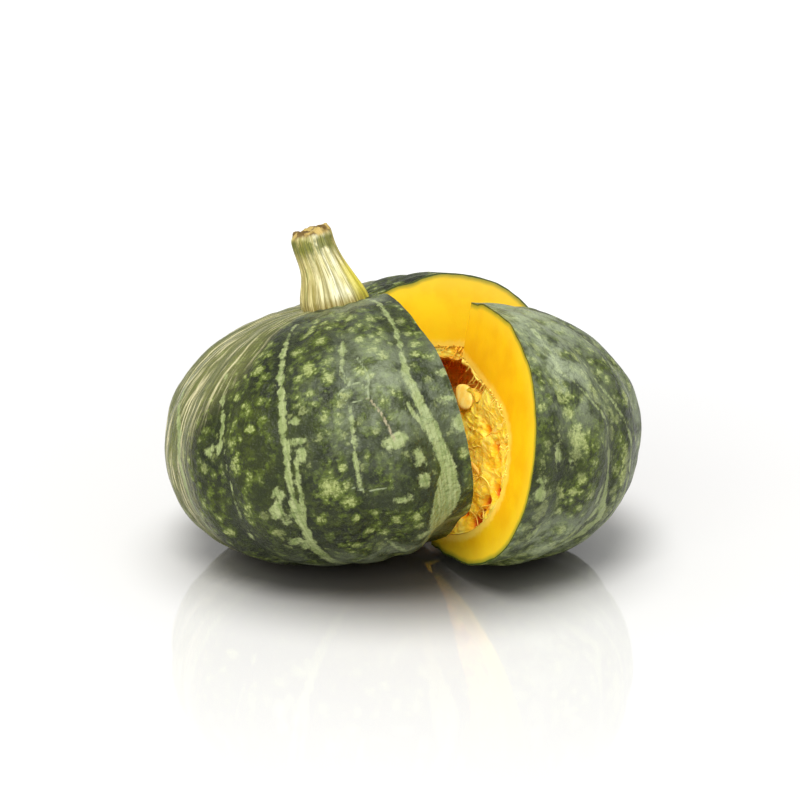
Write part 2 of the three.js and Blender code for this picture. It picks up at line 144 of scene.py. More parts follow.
def round_axis(reach, azimuth, height):
    """Points at a reach from the axis, an azimuth and a height."""
    return np.stack([reach * np.cos(azimuth), reach * np.sin(azimuth), height], axis=-1)


def waves(shape, azimuth):
    """Sum of cosines round the axis: each its share times cos(count x (azimuth - its place))."""
    return sum(share * np.cos(count * (azimuth - math.radians(at))) for count, share, at in shape)


def turn_between(azimuth, at):
    """The turn from one azimuth to another, from minus half a turn to half a turn."""
    return np.arctan2(np.sin(azimuth - at), np.cos(azimuth - at))


def cloud(points, size, seed):
    """Smooth noise from -1 to 1: random numbers on a lattice of that spacing, blended between
    the eight corners round each point by an S curve. size may be one number or three."""
    table = np.random.default_rng(seed).uniform(-1.0, 1.0, (LATTICE,) * 3)
    scaled = points / np.asarray(size, float)
    cell = np.floor(scaled).astype(int)
    part = scaled - cell
    part = part * part * (3.0 - 2.0 * part)
    total = np.zeros(points.shape[:-1])
    for corner in np.ndindex(2, 2, 2):
        share = np.prod(np.where(corner, part, 1.0 - part), axis=-1)
        x, y, z = np.moveaxis((cell + corner) % LATTICE, -1, 0)
        total += share * table[x, y, z]
    return total


def valley(azimuth):
    """Rib valleys: a raised cosine with one peak a rib, sharpened, deeper on some sides."""
    unlike = 1.0 + RIB_WAVER * np.sin(3.0 * azimuth + 1.0) * np.cos(5.0 * azimuth)
    comb = 0.5 + 0.5 * np.cos((azimuth - math.radians(RIB_VALLEY)) * RIB_COUNT)
    return unlike * comb ** RIB_CREST


def skin(latitude, azimuth, cheeks):
    """Skin points: a superellipse profile turned round the axis, dipped at both ends, made
    oval and uneven by cosines, dropped at the cheeks, and pressed in at the rib valleys."""
    latitude, azimuth = np.broadcast_arrays(latitude, azimuth)
    upper = latitude >= 0.0
    exponent = 2.0 / np.where(upper, *SQUARENESS)
    radius = RADIUS * power(np.maximum(np.cos(latitude), 0.0), exponent)
    height = np.where(upper, *HEIGHT) * power(np.sin(latitude), exponent)
    height = height - np.where(upper, STEM_DIP[0] * bell(radius / STEM_DIP[1]), 0.0)
    height = height + np.where(upper, 0.0, BLOSSOM_DIP[0] * bell(radius / BLOSSOM_DIP[1]))
    out = radius / RADIUS
    uneven = np.where(upper, waves(UPPER_UNEVEN, azimuth), waves(LOWER_UNEVEN, azimuth))
    height = height * (1.0 + uneven * out)
    for at, spread, above, below in cheeks:
        drop, middle, width = np.where(upper[..., None], above, below).transpose(-1, *range(upper.ndim))
        aside = turn_between(azimuth, math.radians(at)) / math.radians(spread)
        height = height - np.sign(height) * drop * bell(aside) * bell((radius - middle) / width)
    ribbed = RIB_DEPTH * valley(azimuth) * out ** RIB_FADE
    reach = radius * (1.0 + waves(OVAL, azimuth) * out) - ribbed * np.cos(latitude)
    height = height - np.sign(height) * ribbed * np.abs(np.sin(latitude)) * RIB_DROP
    points = round_axis(reach, azimuth, height)
    return points + unit(points) * skin_relief(points)[..., None]


def skin_relief(points):
    """Unevenness of the skin in millimetres: broad swellings and small dimples."""
    swelling = 0.5 * cloud(points, 21.0, 3) + 0.42 * cloud(points, 9.5, 4)
    return swelling - 0.34 * np.maximum(cloud(points, 4.6, 5), 0.0)


def cavity(latitude, azimuth, inset=0.0):
    """Cavity wall: two half superellipses about its widest ring, drawn in by inset, and a bell
    that lifts the roof under the stem."""
    latitude, azimuth = np.broadcast_arrays(latitude, azimuth)
    upper = latitude >= 0.0
    exponent = 2.0 / np.where(upper, *CAVITY_SQUARENESS)
    tall = np.where(upper, *CAVITY_HEIGHT) - inset
    reach = (CAVITY_RADIUS - inset) * power(np.maximum(np.cos(latitude), 0.0), exponent)
    peak = np.where(upper, CAVITY_PEAK[0] * bell(reach / CAVITY_PEAK[1]), 0.0)
    height = CAVITY_CENTRE + tall * power(np.sin(latitude), exponent) + peak
    return round_axis(reach, azimuth, height)


def cut_line(height):
    """x and y of the slanting line where the two cuts meet, at a height."""
    share = (np.asarray(height)[..., None] + HEIGHT[1]) / sum(HEIGHT)
    return CUT_BOTTOM + share * (CUT_TOP - CUT_BOTTOM)


def cut_azimuth(surface, latitude, cut):
    """Azimuth at which each ring of a surface crosses a cut, found by halving: the side of the
    cut that a point is on changes once between a quarter turn before it and one after."""
    low = np.full(latitude.shape, cut - TURN / 4)
    high = low + TURN / 2
    for _ in range(HALVINGS):
        middle = (low + high) / 2
        points = surface(latitude, middle)
        off = points[..., :2] - cut_line(points[..., 2])
        beyond = off[..., 1] * math.cos(cut) - off[..., 0] * math.sin(cut) > 0.0
        high = np.where(beyond, middle, high)
        low = np.where(beyond, low, middle)
    return (low + high) / 2


def apex_latitude(surface, sign):
    """Latitude above (+1) or below (-1) at which a surface passes through the cuts' line,
    found by halving, and its azimuth there."""
    low, high = 0.0, TURN / 4
    azimuth = 0.0
    for _ in range(HALVINGS):
        middle = (low + high) / 2
        for _ in range(4):
            line = cut_line(surface(np.array(sign * middle), np.array(azimuth))[..., 2])
            azimuth = math.atan2(line[1], line[0])
        point = surface(np.array(sign * middle), np.array(azimuth))
        if math.hypot(point[0], point[1]) > math.hypot(line[0], line[1]):
            low = middle
        else:
            high = middle
    return sign * (low + high) / 2, azimuth


def patch(surface, rows, columns, wedge):
    """A surface between the cuts on a grid. rows is the count below, between and above the two
    latitudes where the cuts' line passes through it. Between them each row runs from one cut
    to the other; beyond them it is a whole ring, and a wedge has none of those.
    Returns points, latitudes, azimuths, and the first and last row between the cuts."""
    below, between, above = rows
    bottom, bottom_azimuth = apex_latitude(surface, -1)
    top, top_azimuth = apex_latitude(surface, 1)
    middle = np.linspace(bottom, top, between + 1)
    front, back = (
        np.concatenate([[bottom_azimuth], cut_azimuth(surface, middle[1:-1], cut), [top_azimuth]])
        for cut in (CUT_FRONT, CUT_BACK)
    )
    if wedge:
        latitude, start, end, first = middle, front, back, 0
    else:
        low = np.linspace(-TURN / 4, bottom, below + 1)[:-1]
        high = np.linspace(top, TURN / 4, above + 1)[1:]
        latitude = np.concatenate([low, middle, high])
        ends = np.full(below, bottom_azimuth), np.full(above, top_azimuth)
        start = np.concatenate([ends[0], back, ends[1]])
        end = np.concatenate([ends[0], front, ends[1]]) + TURN
        first = below
    share = np.linspace(0.0, 1.0, columns + 1)
    azimuth = start[:, None] + (end - start)[:, None] * share
    latitude = np.broadcast_to(latitude[:, None], azimuth.shape)
    points = surface(latitude, azimuth)
    points[[0, -1]] = points[[0, -1], :1]
    return points, latitude, azimuth, first, first + between


def distance_to_path(points, path):
    """Distance from each point to the nearest straight stretch of a path."""
    start, stretch = path[:-1], np.diff(path, axis=0)
    length = np.maximum((stretch ** 2).sum(-1), 1e-12)
    away = points[:, None, :] - start
    along = np.clip((away * stretch).sum(-1) / length, 0.0, 1.0)
    return np.linalg.norm(away - along[..., None] * stretch, axis=-1).min(axis=1)


def cut_face(rim, inner, spread):
    """A cut face on a grid: each row is a straight run from the skin's rim to the inner edge,
    with its points at the shares in spread."""
    return rim[:, None, :] + (inner - rim)[:, None, :] * spread[None, :, None]


def tipped(points, tip, place):
    """Points turned by yaw about Z, then pitch about X, then roll about Y, and moved."""
    pitch, roll, yaw = (math.radians(angle) for angle in tip)
    turned = np.eye(3)
    for angle, first, second in ((yaw, 0, 1), (pitch, 1, 2), (roll, 2, 0)):
        turn = np.eye(3)
        turn[first, first] = turn[second, second] = math.cos(angle)
        turn[second, first] = math.sin(angle)
        turn[first, second] = -math.sin(angle)
        turned = turn @ turned
    return points @ turned.T + place


def body_place(points):
    """Body points set down on the floor, in metres."""
    return tipped(points, BODY_TIP, BODY_PLACE) * MM


def wedge_place(points):
    """Wedge points turned about the middle of the cuts' line and set down, in metres."""
    middle = (CUT_TOP + CUT_BOTTOM) / 2
    pivot = np.array([middle[0], middle[1], (HEIGHT[0] - HEIGHT[1]) / 2])
    shift = np.array([WEDGE_SHIFT[0] + BODY_PLACE[0], WEDGE_SHIFT[1] + BODY_PLACE[1], WEDGE_LIFT])
    return tipped(points - pivot, WEDGE_TIP, pivot + shift) * MM


# ---- meshes ----
def placed(name, data):
    """A new object in the scene."""
    made = bpy.data.objects.new(name, data)
    bpy.context.scene.collection.objects.link(made)
    return made


class Shape:
    """Collects grids of points with their values and makes one closed mesh of them."""

    def __init__(self):
        self.points, self.faces, self.finishes, self.values, self.charts = [], [], [], {}, []
        self.count = 0

    def grid(self, points, finish=0, chart=None, round_columns=False, **values):
        """Adds a grid of points, rows by columns, as two triangles a cell."""
        rows, columns = points.shape[:2]
        index = self.count + np.arange(rows * columns).reshape(rows, columns)
        if round_columns:
            index = np.concatenate([index, index[:, :1]], axis=1)
        a, b = index[:-1, :-1].ravel(), index[:-1, 1:].ravel()
        c, d = index[1:, 1:].ravel(), index[1:, :-1].ravel()
        faces = np.concatenate([np.stack([a, b, c], 1), np.stack([a, c, d], 1)])
        self.add(points.reshape(-1, 3), faces, finish, chart, **values)

    def add(self, points, faces, finish=0, chart=None, **values):
        """Adds loose triangles."""
        total = len(points)
        self.points.append(points)
        self.faces.append(faces)
        self.finishes.append(np.full(len(faces), finish))
        self.charts.append(np.zeros((total, 2)) if chart is None else chart.reshape(-1, 2))
        for name in sorted({*values, *self.values}):
            kept = self.values.setdefault(name, [np.zeros(self.count)])
            kept.append(np.ravel(values[name]) if name in values else np.zeros(total))
        self.count += total

    def piece(self, name, place, finishes, sharp=None):
        """Makes the object: merges the points that meet, drops flat triangles, turns the faces
        outwards, presses what is under the floor up to it, and smooths the shading."""
        points = place(np.concatenate(self.points))
        points[:, 2] = np.maximum(points[:, 2], 0.0)
        faces, charts, finish = map(np.concatenate, (self.faces, self.charts, self.finishes))
        rounded = np.round(points * MERGE_STEPS).astype(np.int64)
        _, first, where = np.unique(rounded, axis=0, return_index=True, return_inverse=True)
        where = where.ravel()
        met = where[faces]
        whole = (met[:, 0] != met[:, 1]) & (met[:, 1] != met[:, 2]) & (met[:, 2] != met[:, 0])
        met, faces, finish = met[whole], faces[whole], finish[whole]
        mesh = bpy.data.meshes.new(name)
        mesh.from_pydata(points[first], [], met)
        mesh.uv_layers.new(name="surface").data.foreach_set("uv", charts[faces.ravel()].ravel())
        mesh.polygons.foreach_set("material_index", finish.astype(np.int32))
        for value_name, parts in self.values.items():
            attribute = mesh.attributes.new(value_name, "FLOAT", "POINT")
            attribute.data.foreach_set("value", np.concatenate(parts)[first].astype(np.float32))
        shell = bmesh.new()
        shell.from_mesh(mesh)
        bmesh.ops.recalc_face_normals(shell, faces=shell.faces)
        shell.to_mesh(mesh)
        shell.free()
        mesh.polygons.foreach_set("use_smooth", np.ones(len(mesh.polygons), bool))
        if sharp:
            mesh.set_sharp_from_angle(angle=math.radians(sharp))
        mesh.update()
        for material in finishes:
            mesh.materials.append(material)
        return placed(name, mesh)


# ---- markings of the skin ----
# Pale stripes, each from its upper end down: knots of latitude, azimuth and half width in
# millimetres.
BODY_STRIPES = (
    ((66, -119, 0.5), (55, -115.5, 1.6), (40, -112.5, 1.9), (26, -110, 2.3), (12, -109.5, 2.0),
     (0, -110.2, 2.4), (-10, -110.8, 3.0), (-20, -110.6, 3.0), (-32, -111.4, 3.4), (-46, -112, 2.6),
     (-62, -113, 1.4)),
    ((9, -106.8, 0.6), (4, -107.2, 1.2), (-4, -108.0, 1.4), (-12, -109, 2.0), (-16, -109.8, 0.8)),
    ((80, -62, 0.8), (60, -66.5, 1.2), (40, -72.0, 1.3), (31, -73.8, 2.2), (22, -73.2, 3.2),
     (12, -72.0, 3.4), (2, -70.6, 3.8), (-8, -70.2, 5.0), (-18, -71.2, 8.8), (-28, -72.4, 8.4),
     (-38, -74.0, 6.0), (-52, -75.6, 3.4), (-64, -76, 1.4)),
    ((19, -76.4, 0.8), (15, -75.6, 1.6), (10, -74.0, 1.6), (6, -72.6, 0.8)),
    ((54, -90.5, 0.6), (46, -91.2, 1.5), (38, -92.2, 1.0), (32, -91.6, 0.7)),
    ((25, -91.2, 0.7), (20, -91.4, 1.1), (8, -92.2, 1.2), (0, -92.8, 1.3), (-6, -92.8, 1.2),
     (-9, -91.6, 0.5)),
    ((44, -137.5, 0.4), (34, -133.5, 1.0), (22, -130.6, 1.6), (15, -130.6, 1.9), (11, -131.5, 1.2)),
    ((14, -128.6, 0.4), (2, -127.6, 0.7), (-12, -128.0, 0.5)),
    ((44, -165, 1.5), (30, -158, 1.9), (18, -152, 2.6), (6, -150, 2.8), (-10, -149, 3.0),
     (-30, -150, 2.4), (-50, -152, 1.6)),
    ((-34, -90.4, 0.4), (-40, -89.2, 1.4), (-46, -86.6, 2.2), (-52, -84.0, 0.6)),
    ((-40, -131, 0.7), (-48, -128.5, 1.2), (-56, -125, 2.6), (-62, -120, 1.0)),
)
WEDGE_STRIPES = (
    ((58, -46, 0.4), (35, -48.4, 0.9), (15, -37.3, 1.0), (-3, -32.6, 2.0), (-23, -26.7, 3.0),
     (-40, -32.2, 2.6), (-58, -34, 1.6)),
    ((56, -37, 0.8), (30, -32, 0.9), (5, -22.6, 1.4), (-8, -20.6, 1.2), (-22, -20, 1.8),
     (-40, -21, 1.4)),
)
# Blotches that lean on the stripes: latitude, azimuth, half height and half width.
BODY_BLOTCHES = (
    (9, -105.0, 4.0, 3.0), (14, -105.8, 2.0, 3.4), (-3, -113.2, 2.6, 4.0), (-9, -115.4, 4.2, 3.4),
    (-14, -114.0, 3.0, 2.0), (-25, -114.6, 3.0, 5.0), (-29, -113.0, 3.4, 2.6), (22, -106.2, 1.4, 2.0),
    (7, -81.6, 4.2, 4.4), (-13.5, -83.4, 2.2, 3.4), (6, -63.4, 5.2, 4.4), (-1, -77.0, 4.6, 2.4),
    (-8, -76.6, 4.4, 3.0), (16, -66.0, 2.4, 3.0), (27, -62.5, 2.2, 3.6), (-38, -79.0, 4.0, 3.4),
    (13, -134.6, 2.8, 2.0), (-22, -129.5, 3.8, 1.2),
)
WEDGE_BLOTCHES = (
    (4, -56.0, 4.6, 1.8), (-8, -60.5, 6.0, 2.6), (0, -50.6, 1.8, 1.8), (-26, -56.0, 6.0, 2.0),
    (-12, -35.0, 5.0, 2.8), (-20, -31.0, 7.0, 2.2), (2, -34.5, 5.0, 2.0), (-9, -14.0, 4.0, 2.6),
)
# Starry mottles that stand by themselves: latitude, azimuth and reach in millimetres.
BODY_STARS = (
    (59, -106, 2.3), (53, -100, 3.3), (62, -106, 2.3), (63, -100, 2.3), (63, -86, 2.9), (56, -86, 2.7),
    (61, -76, 3.1), (50, -84, 2.9), (44, -81, 3.6), (48, -78, 2.7), (63, -66, 2.7), (57, -64, 3.3),
    (50, -65, 2.7), (43, -66, 3.3), (38, -68, 2.7), (26, -68, 2.9), (34, -64, 2.7), (16, -68, 3.1),
    (36, -87, 2.9), (36, -96, 3.6), (31, -102, 2.7), (40, -102, 3.6), (13, -94, 2.5), (14, -100, 3.5),
    (12, -86, 2.7), (2, -80, 2.7), (33, -84, 2.5), (25, -94, 3.3), (5, -66, 2.5), (50, -109, 3.5),
    (42, -103, 3.3), (38, -106, 2.7), (25, -104, 3.5), (44, -122, 3.5), (51, -126, 2.7), (47, -138, 2.3),
    (30, -122, 2.5), (21, -126, 1.7), (16, -126, 3.1), (38, -144, 2.7), (34, -127, 2.9), (21, -119, 2.7),
    (13, -104, 2.7), (-3, -100, 5.5), (-9, -96, 4.1), (-15, -105, 2.6), (-17, -96, 2.6), (-19, -118, 4.3),
    (-19, -136, 3.8), (-17, -91, 2.4), (-10, -119, 3.8), (10, -124, 2.6), (6, -104, 2.4), (7, -136, 3.4),
    (1, -92, 3.4), (-29, -80, 3.4), (-12, -136, 2.6), (-7, -108, 2.6), (2, -96, 2.4),
    (-4, -65, 2.9), (28, -92, 3.4), (-26, -94, 2.8), (-32, -99, 2.8),
)
WEDGE_STARS = (
    (43, -45, 3.1), (33, -40, 3.6), (28, -40, 2.9), (50, -45, 2.6), (39, -38, 2.4), (7, -60, 3.4),
    (6, -46, 3.1), (13, -48, 3.1), (18, -50, 3.6), (-4, -46, 3.6), (20, -61, 2.9), (-4, -60, 3.6),
    (24, -41, 2.6), (-9, -48, 2.9), (-15, -44, 2.9), (33, -28, 2.4), (14, -31, 2.4), (-9, -60, 2.9),
    (-17, -50, 3.1), (-23, -52, 3.1), (-19, -30, 2.9),
)
MERIDIAN = 84.0  # millimetres along the skin for a radian of latitude
GIRTH = 92.0  # and for a radian of azimuth, near the widest ring
STRIPE_WIDTH = 0.74  # every stripe's half width is scaled by this
VALLEY_KNOTS = (68, 46, 26, 6, -14, -36, -60)  # latitudes of a stripe in a valley
VALLEY_HALVES = (0.4, 0.7, 1.1, 1.5, 1.9, 1.6, 0.6)  # and its half widths there
FAR = 30.0  # distance given where no stripe is near
# Where the grey haze is thickest, partly a waxy coat and partly painted sheen of the light overhead and
# painted reflection of the floor near the bottom: latitude, azimuth, half height and half width, in
# degrees.
BODY_BLOOM_AND_SHEEN = (
    (30, -82, 26, 17), (18, -58, 26, 9), (44, 100, 22, 60), (-50, -92, 14, 50), (76, -84, 12, 50),
)
BODY_CALM = ((5, -88, 16, 13), (-14, -98, 12, 8))  # where the mottles are few
# The same grey haze on the wedge: a waxy coat with painted sheen of the light overhead, thickest on its
# top.
WEDGE_BLOOM_AND_SHEEN = ((62, -30, 24, 70), (38, -46, 24, 18), (-34, -44, 16, 34), (6, 4, 30, 20))
# The scar and the folds of the skin beside it: paths of latitude and azimuth.
SCAR = ((25, -86.4), (24, -85.6), (18, -83.6), (12, -82.6), (7, -82.0))
BODY_FOLDS = (
    ((29, -94.0), (30, -93.0), (32, -90.0), (31.6, -87.6), (28, -85.5), (24, -86.0), (24.4, -88.6),
     (25, -91.0), (26.6, -92.6), (29, -94.0)),
    ((40, -92.4), (36, -91.5), (32, -90.0)),
    ((42, -86.6), (36, -85.0), (32, -84.5), (28, -85.5)),
    ((-4.6, -94.8), (-6.4, -92.6), (-7.4, -90.4), (-7.8, -86.8)),
)
WEDGE_FOLDS = (((38, -53.0), (36, -53.5), (35, -52.0), (37, -49.5), (34, -49.0), (33, -47.8)),)
FOLD_DEPTH = 0.3
FOLD_HALF = 1.1
FOLD_REACH = 9.0  # distance given where no path is near


def patch_share(latitude, azimuth, places):
    """How deep a place is in the patches at places, 0 to 1: the greatest of a bell round each place."""
    most = np.zeros(latitude.shape)
    for level, at, tall, wide in places:
        up = (np.degrees(latitude) - level) / tall
        aside = np.degrees(turn_between(azimuth, math.radians(at))) / wide
        most = np.maximum(most, bell(up) * bell(aside))
    return most


def star_field(latitude, azimuth, girth, stars):
    """How far inside the nearest starry mottle a place is: 0.55 at its middle, falling with the
    distance over its reach to about 0 at its edge, and -1 at least."""
    field = np.full(latitude.shape, -1.0)
    for level, at, reach in stars:
        along = (latitude - math.radians(level)) * MERIDIAN
        aside = turn_between(azimuth, math.radians(at)) * girth
        field = np.maximum(field, 0.55 - 0.62 * np.hypot(along, aside) / reach)
    return field


def stripe_edge(latitude, azimuth, girth, stripes, blotches, covered):
    """Distance in millimetres to the edge of the nearest stripe or blotch, less than 0 inside.
    A stripe is where the way round the axis to its line is less than its half width. Every
    rib valley outside the covered azimuths gets a stripe of its own from a seeded table."""
    level = np.degrees(latitude)
    nearest = np.full(level.shape, FAR)
    draw = np.random.default_rng(41)
    tables = [np.array(stripe, float) for stripe in stripes]
    for rib in range(RIB_COUNT):
        at = RIB_VALLEY + 360.0 / RIB_COUNT * rib
        wander = draw.normal(0.0, 0.8, 7)
        strong = draw.uniform(0.3, 1.0) * (1.0 + 1.6 * (draw.uniform() > 0.6))
        half = strong * np.array(VALLEY_HALVES) * draw.uniform(0.6, 1.3, 7)
        knots = np.array(VALLEY_KNOTS) + draw.normal(0.0, 3.0, 7)
        if not covered[0] < (at - covered[0]) % 360.0 + covered[0] < covered[1]:
            tables.append(np.stack([knots, at + wander, half], axis=1))
    for table in tables:
        knots, line, half = table[np.argsort(table[:, 0])].T
        aside = np.abs(turn_between(azimuth, np.radians(np.interp(level, knots, line)))) * girth
        aside = aside - np.interp(level, knots, half) * STRIPE_WIDTH
        beyond = np.maximum(knots[0] - level, level - knots[-1]) * math.radians(MERIDIAN)
        nearest = np.minimum(nearest, np.maximum(aside, beyond))
    for at_level, at, tall, wide in blotches:
        along = (level - at_level) * math.radians(MERIDIAN) / tall
        aside = turn_between(azimuth, math.radians(at)) * girth / wide
        nearest = np.minimum(nearest, (np.hypot(along, aside) - 1.0) * min(tall, wide) * 0.55)
    return nearest


def path_distance(latitude, azimuth, paths):
    """Distance in millimetres along the skin to the nearest of some paths, up to FOLD_REACH. Only
    what is within 7 degrees of a path is measured."""
    size = np.array([math.radians(GIRTH), math.radians(MERIDIAN)])
    flat = np.stack([(np.degrees(azimuth) + 180.0) % 360.0 - 180.0, np.degrees(latitude)], axis=-1)
    nearest = np.full(latitude.shape, FOLD_REACH)
    for path in paths:
        line = np.array(path, float)[:, ::-1]
        near = ((flat > line.min(axis=0) - 7.0) & (flat < line.max(axis=0) + 7.0)).all(axis=-1)
        nearest[near] = np.minimum(nearest[near], distance_to_path(flat[near] * size, line * size))
    return nearest


# ---- finishes ----
def paint(red, green, blue):
    """A colour given as on a screen, 0 to 255, made linear for the shader."""
    share = np.array([red, green, blue]) / 255.0
    linear = np.where(share <= 0.04045, share / 12.92, ((share + 0.055) / 1.055) ** 2.4)
    return (*linear, 1.0)


class Finish:
    """A procedural material and short ways to add its nodes."""

    def __init__(self, name):
        self.material = bpy.data.materials.new(name)
        self.material.use_nodes = True
        self.tree = self.material.node_tree
        self.shader = self.tree.nodes["Principled BSDF"]
        self.where = self.node("TexCoord").outputs["Object"]
        self.chart = self.node("UVMap", uv_map="surface").outputs["UV"]

    def feed(self, socket, value):
        """Links a socket, or sets its number or colour."""
        if isinstance(value, bpy.types.NodeSocket):
            self.tree.links.new(value, socket)
        elif value is not None:
            socket.default_value = value

    def node(self, kind, named=None, **settings):
        """A new node with its settings, and its inputs fed by name or number."""
        made = self.tree.nodes.new("ShaderNode" + kind)
        for name, value in settings.items():
            setattr(made, name, value)
        for name, value in (named or {}).items():
            self.feed(made.inputs[name], value)
        return made

    def shade(self, **values):
        """Feeds the shader's sockets, with underscores for spaces."""
        for name, value in values.items():
            self.feed(self.shader.inputs[name.replace("_", " ")], value)

    def value(self, name):
        """One of the mesh's own values."""
        return self.node("Attribute", attribute_name=name).outputs["Fac"]

    def maths(self, operation, first, second=None, third=None):
        """Arithmetic on numbers."""
        return self.node("Math", {0: first, 1: second, 2: third}, operation=operation).outputs[0]

    def times(self, first, second):
        """The product of two numbers."""
        return self.maths("MULTIPLY", first, second)

    def stirred(self, value, noise, amount):
        """A number raised and lowered by noise, whose middle is 0.5."""
        return self.maths("MULTIPLY_ADD", self.maths("SUBTRACT", noise, 0.5), amount, value)

    def step(self, value, low, high, start=0.0, end=1.0):
        """An S curve from start at low to end at high."""
        fed = {"Value": value, "From Min": low, "From Max": high, "To Min": start, "To Max": end}
        return self.node("MapRange", fed, interpolation_type="SMOOTHSTEP").outputs["Result"]

    def mix(self, share, *colours):
        """A colour between two colours, each a socket or given as on a screen."""
        fed = {"Factor": share}
        for number, colour in enumerate(colours):
            fed[6 + number] = paint(*colour) if isinstance(colour, tuple) else colour
        return self.node("Mix", fed, data_type="RGBA").outputs[2]

    def cover(self, colour, value, low, high, tone, most=1.0):
        """A colour with a second one over it: none where the value is low, most where high."""
        return self.mix(self.step(value, low, high, 0.0, most), colour, tone)

    def scaled(self, where, scale, move=(0.0, 0.0, 0.0)):
        """A position stretched along its axes."""
        return self.node("Mapping", {"Vector": where, "Scale": scale, "Location": move}).outputs[0]

    def noise(self, size, detail=2.0, roughness=0.5, where=None, output="Fac"):
        """Noise whose swellings are about size metres across."""
        fed = {"Vector": where or self.where, "Scale": 1.0 / size, "Detail": detail}
        return self.node("TexNoise", {**fed, "Roughness": roughness}).outputs[output]

    def on_chart(self, around, up):
        """The mesh's chart, stretched to so many units round it and up it."""
        return self.scaled(self.chart, (around, up, 1.0))

    def streaks(self, around, up, detail=2.0, roughness=0.5):
        """Noise with so many swellings round the chart and up it."""
        return self.noise(1.0, detail, roughness, self.on_chart(around, up))

    def warped(self, where, size, amount, detail=2.0):
        """A position pushed about by noise."""
        push = self.noise(size, detail, where=where, output="Color")
        centred = self.node("VectorMath", {0: push, 1: (0.5,) * 3}, operation="SUBTRACT").outputs[0]
        fed = {0: centred, 1: (amount,) * 3, 2: where}
        return self.node("VectorMath", fed, operation="MULTIPLY_ADD").outputs[0]

    def bump(self, height, distance, strength=1.0, under=None):
        """Fine relief, distance metres deep."""
        fed = {"Height": height, "Distance": distance, "Strength": strength, "Normal": under}
        return self.node("Bump", fed).outputs[0]


def spots(rind, columns, size, move, largest):
    """Ragged spots, one a cell, each of its own size and fewer between the columns: how far
    inside one a place is."""
    where = rind.warped(rind.scaled(rind.where, (1.0, 1.0, 0.85), move), 0.005, 0.003)
    cells = rind.node("TexVoronoi", {"Vector": where, "Scale": 1.0 / size})
    luck = rind.node("SeparateColor", {0: cells.outputs["Color"]}).outputs[0]
    grown = rind.step(luck, 0.0, 1.0, 0.22, largest)
    grown = rind.times(grown, rind.step(columns, 0.36, 0.6, 0.62, 1.1))
    grown = rind.times(grown, rind.value("spotty"))
    return rind.maths("SUBTRACT", grown, cells.outputs["Distance"])


def mottled_ground(rind, ragged, fine, edge):
    """The green between the stripes: mossy, with haloed starry mottles that keep clear of the
    stripes, and darker beside them. edge is the distance from the nearest stripe."""
    broad = rind.noise(0.026)
    base = rind.mix(rind.step(broad, 0.38, 0.64), (21, 27, 5), (40, 47, 9))
    mossy = rind.noise(0.0042, 5.0, 0.66, where=rind.warped(rind.where, 0.006, 0.006))
    base = rind.cover(base, mossy, 0.44, 0.68, (66, 76, 18), 0.75)
    columns = rind.streaks(30.0, 4.0)
    large = spots(rind, columns, 0.0078, (0.0, 0.0, 0.0), 0.5)
    field = rind.maths("MAXIMUM", large, spots(rind, columns, 0.0056, (0.3, 0.1, 0.2), 0.4))
    field = rind.maths("MAXIMUM", field, rind.value("star"))
    field = rind.stirred(rind.stirred(field, ragged, 1.3), fine, 0.5)
    halo = rind.times(rind.step(field, -0.26, 0.04), rind.step(edge, 0.4, 3.0))
    core = rind.times(rind.step(field, 0.02, 0.3), rind.step(edge, 0.2, 1.6))
    spot = rind.mix(rind.step(fine, 0.35, 0.65), (120, 131, 66), (160, 168, 104))
    ground = rind.mix(core, rind.mix(rind.times(halo, 0.7), base, (86, 101, 26)), spot)
    dark_side = rind.times(rind.step(edge, 0.6, 1.4), rind.step(edge, 5.5, 2.2))
    return rind.mix(rind.times(dark_side, 0.5), ground, (28, 36, 10))


def sun_and_sheen_ground(rind, ground):
    """Khaki over the ground where the sun reached it, with pale and dark streaks. On the wedge's top the
    same khaki and pale streaks are a painted reflection of the light overhead.
    """
    sunned = rind.value("sunned")
    streak = rind.noise(1.0, 3.0, 0.6, where=rind.warped(rind.on_chart(390.0, 9.5), 2.6, 1.3))
    both = rind.stirred(streak, rind.streaks(150.0, 4.5), 0.7)
    ground = rind.mix(rind.times(sunned, 0.75), ground, (116, 118, 66))
    line = rind.times(rind.step(both, 0.5, 0.64), sunned)
    ground = rind.mix(rind.times(line, 0.9), ground, (204, 196, 152))
    dark_line = rind.times(rind.step(both, 0.44, 0.34), sunned)
    return rind.mix(rind.times(dark_line, 0.55), ground, (66, 74, 32))


def pale_stripe(rind):
    """The colour of the stripes: pale along the grain, and worn back to green in places."""
    grain = rind.streaks(430.0, 12.0, 3.0, 0.6)
    pale = rind.mix(rind.step(grain, 0.34, 0.66), (130, 143, 84), (164, 173, 118))
    worn = rind.step(rind.noise(0.004, 4.0, 0.65), 0.5, 0.66, 0.0, 0.6)
    return rind.mix(worn, pale, (92, 110, 52))


def rind_relief(rind, creasing, stripe):
    """Pebbles, soft swellings, patches of creases, folds, and the stripes' raised edges."""
    wrinkle = rind.noise(1.0, where=rind.warped(rind.on_chart(20.0, 46.0), 1.0, 1.0, 3.0))
    patches = rind.step(rind.noise(0.02, 1.0), 0.46, 0.64)
    creased = rind.times(rind.step(wrinkle, 0.3, 0.7), patches)
    relief = rind.bump(rind.noise(0.0019, 3.0, 0.55), 0.0013, 0.9)
    relief = rind.bump(rind.noise(0.0042), 0.0022, 0.6, relief)
    relief = rind.bump(creased, 0.0009, 0.5, relief)
    relief = rind.bump(rind.step(creasing, 0.2, 1.4), 0.0005, 0.6, relief)
    return rind.bump(stripe, 0.0002, 0.3, relief)


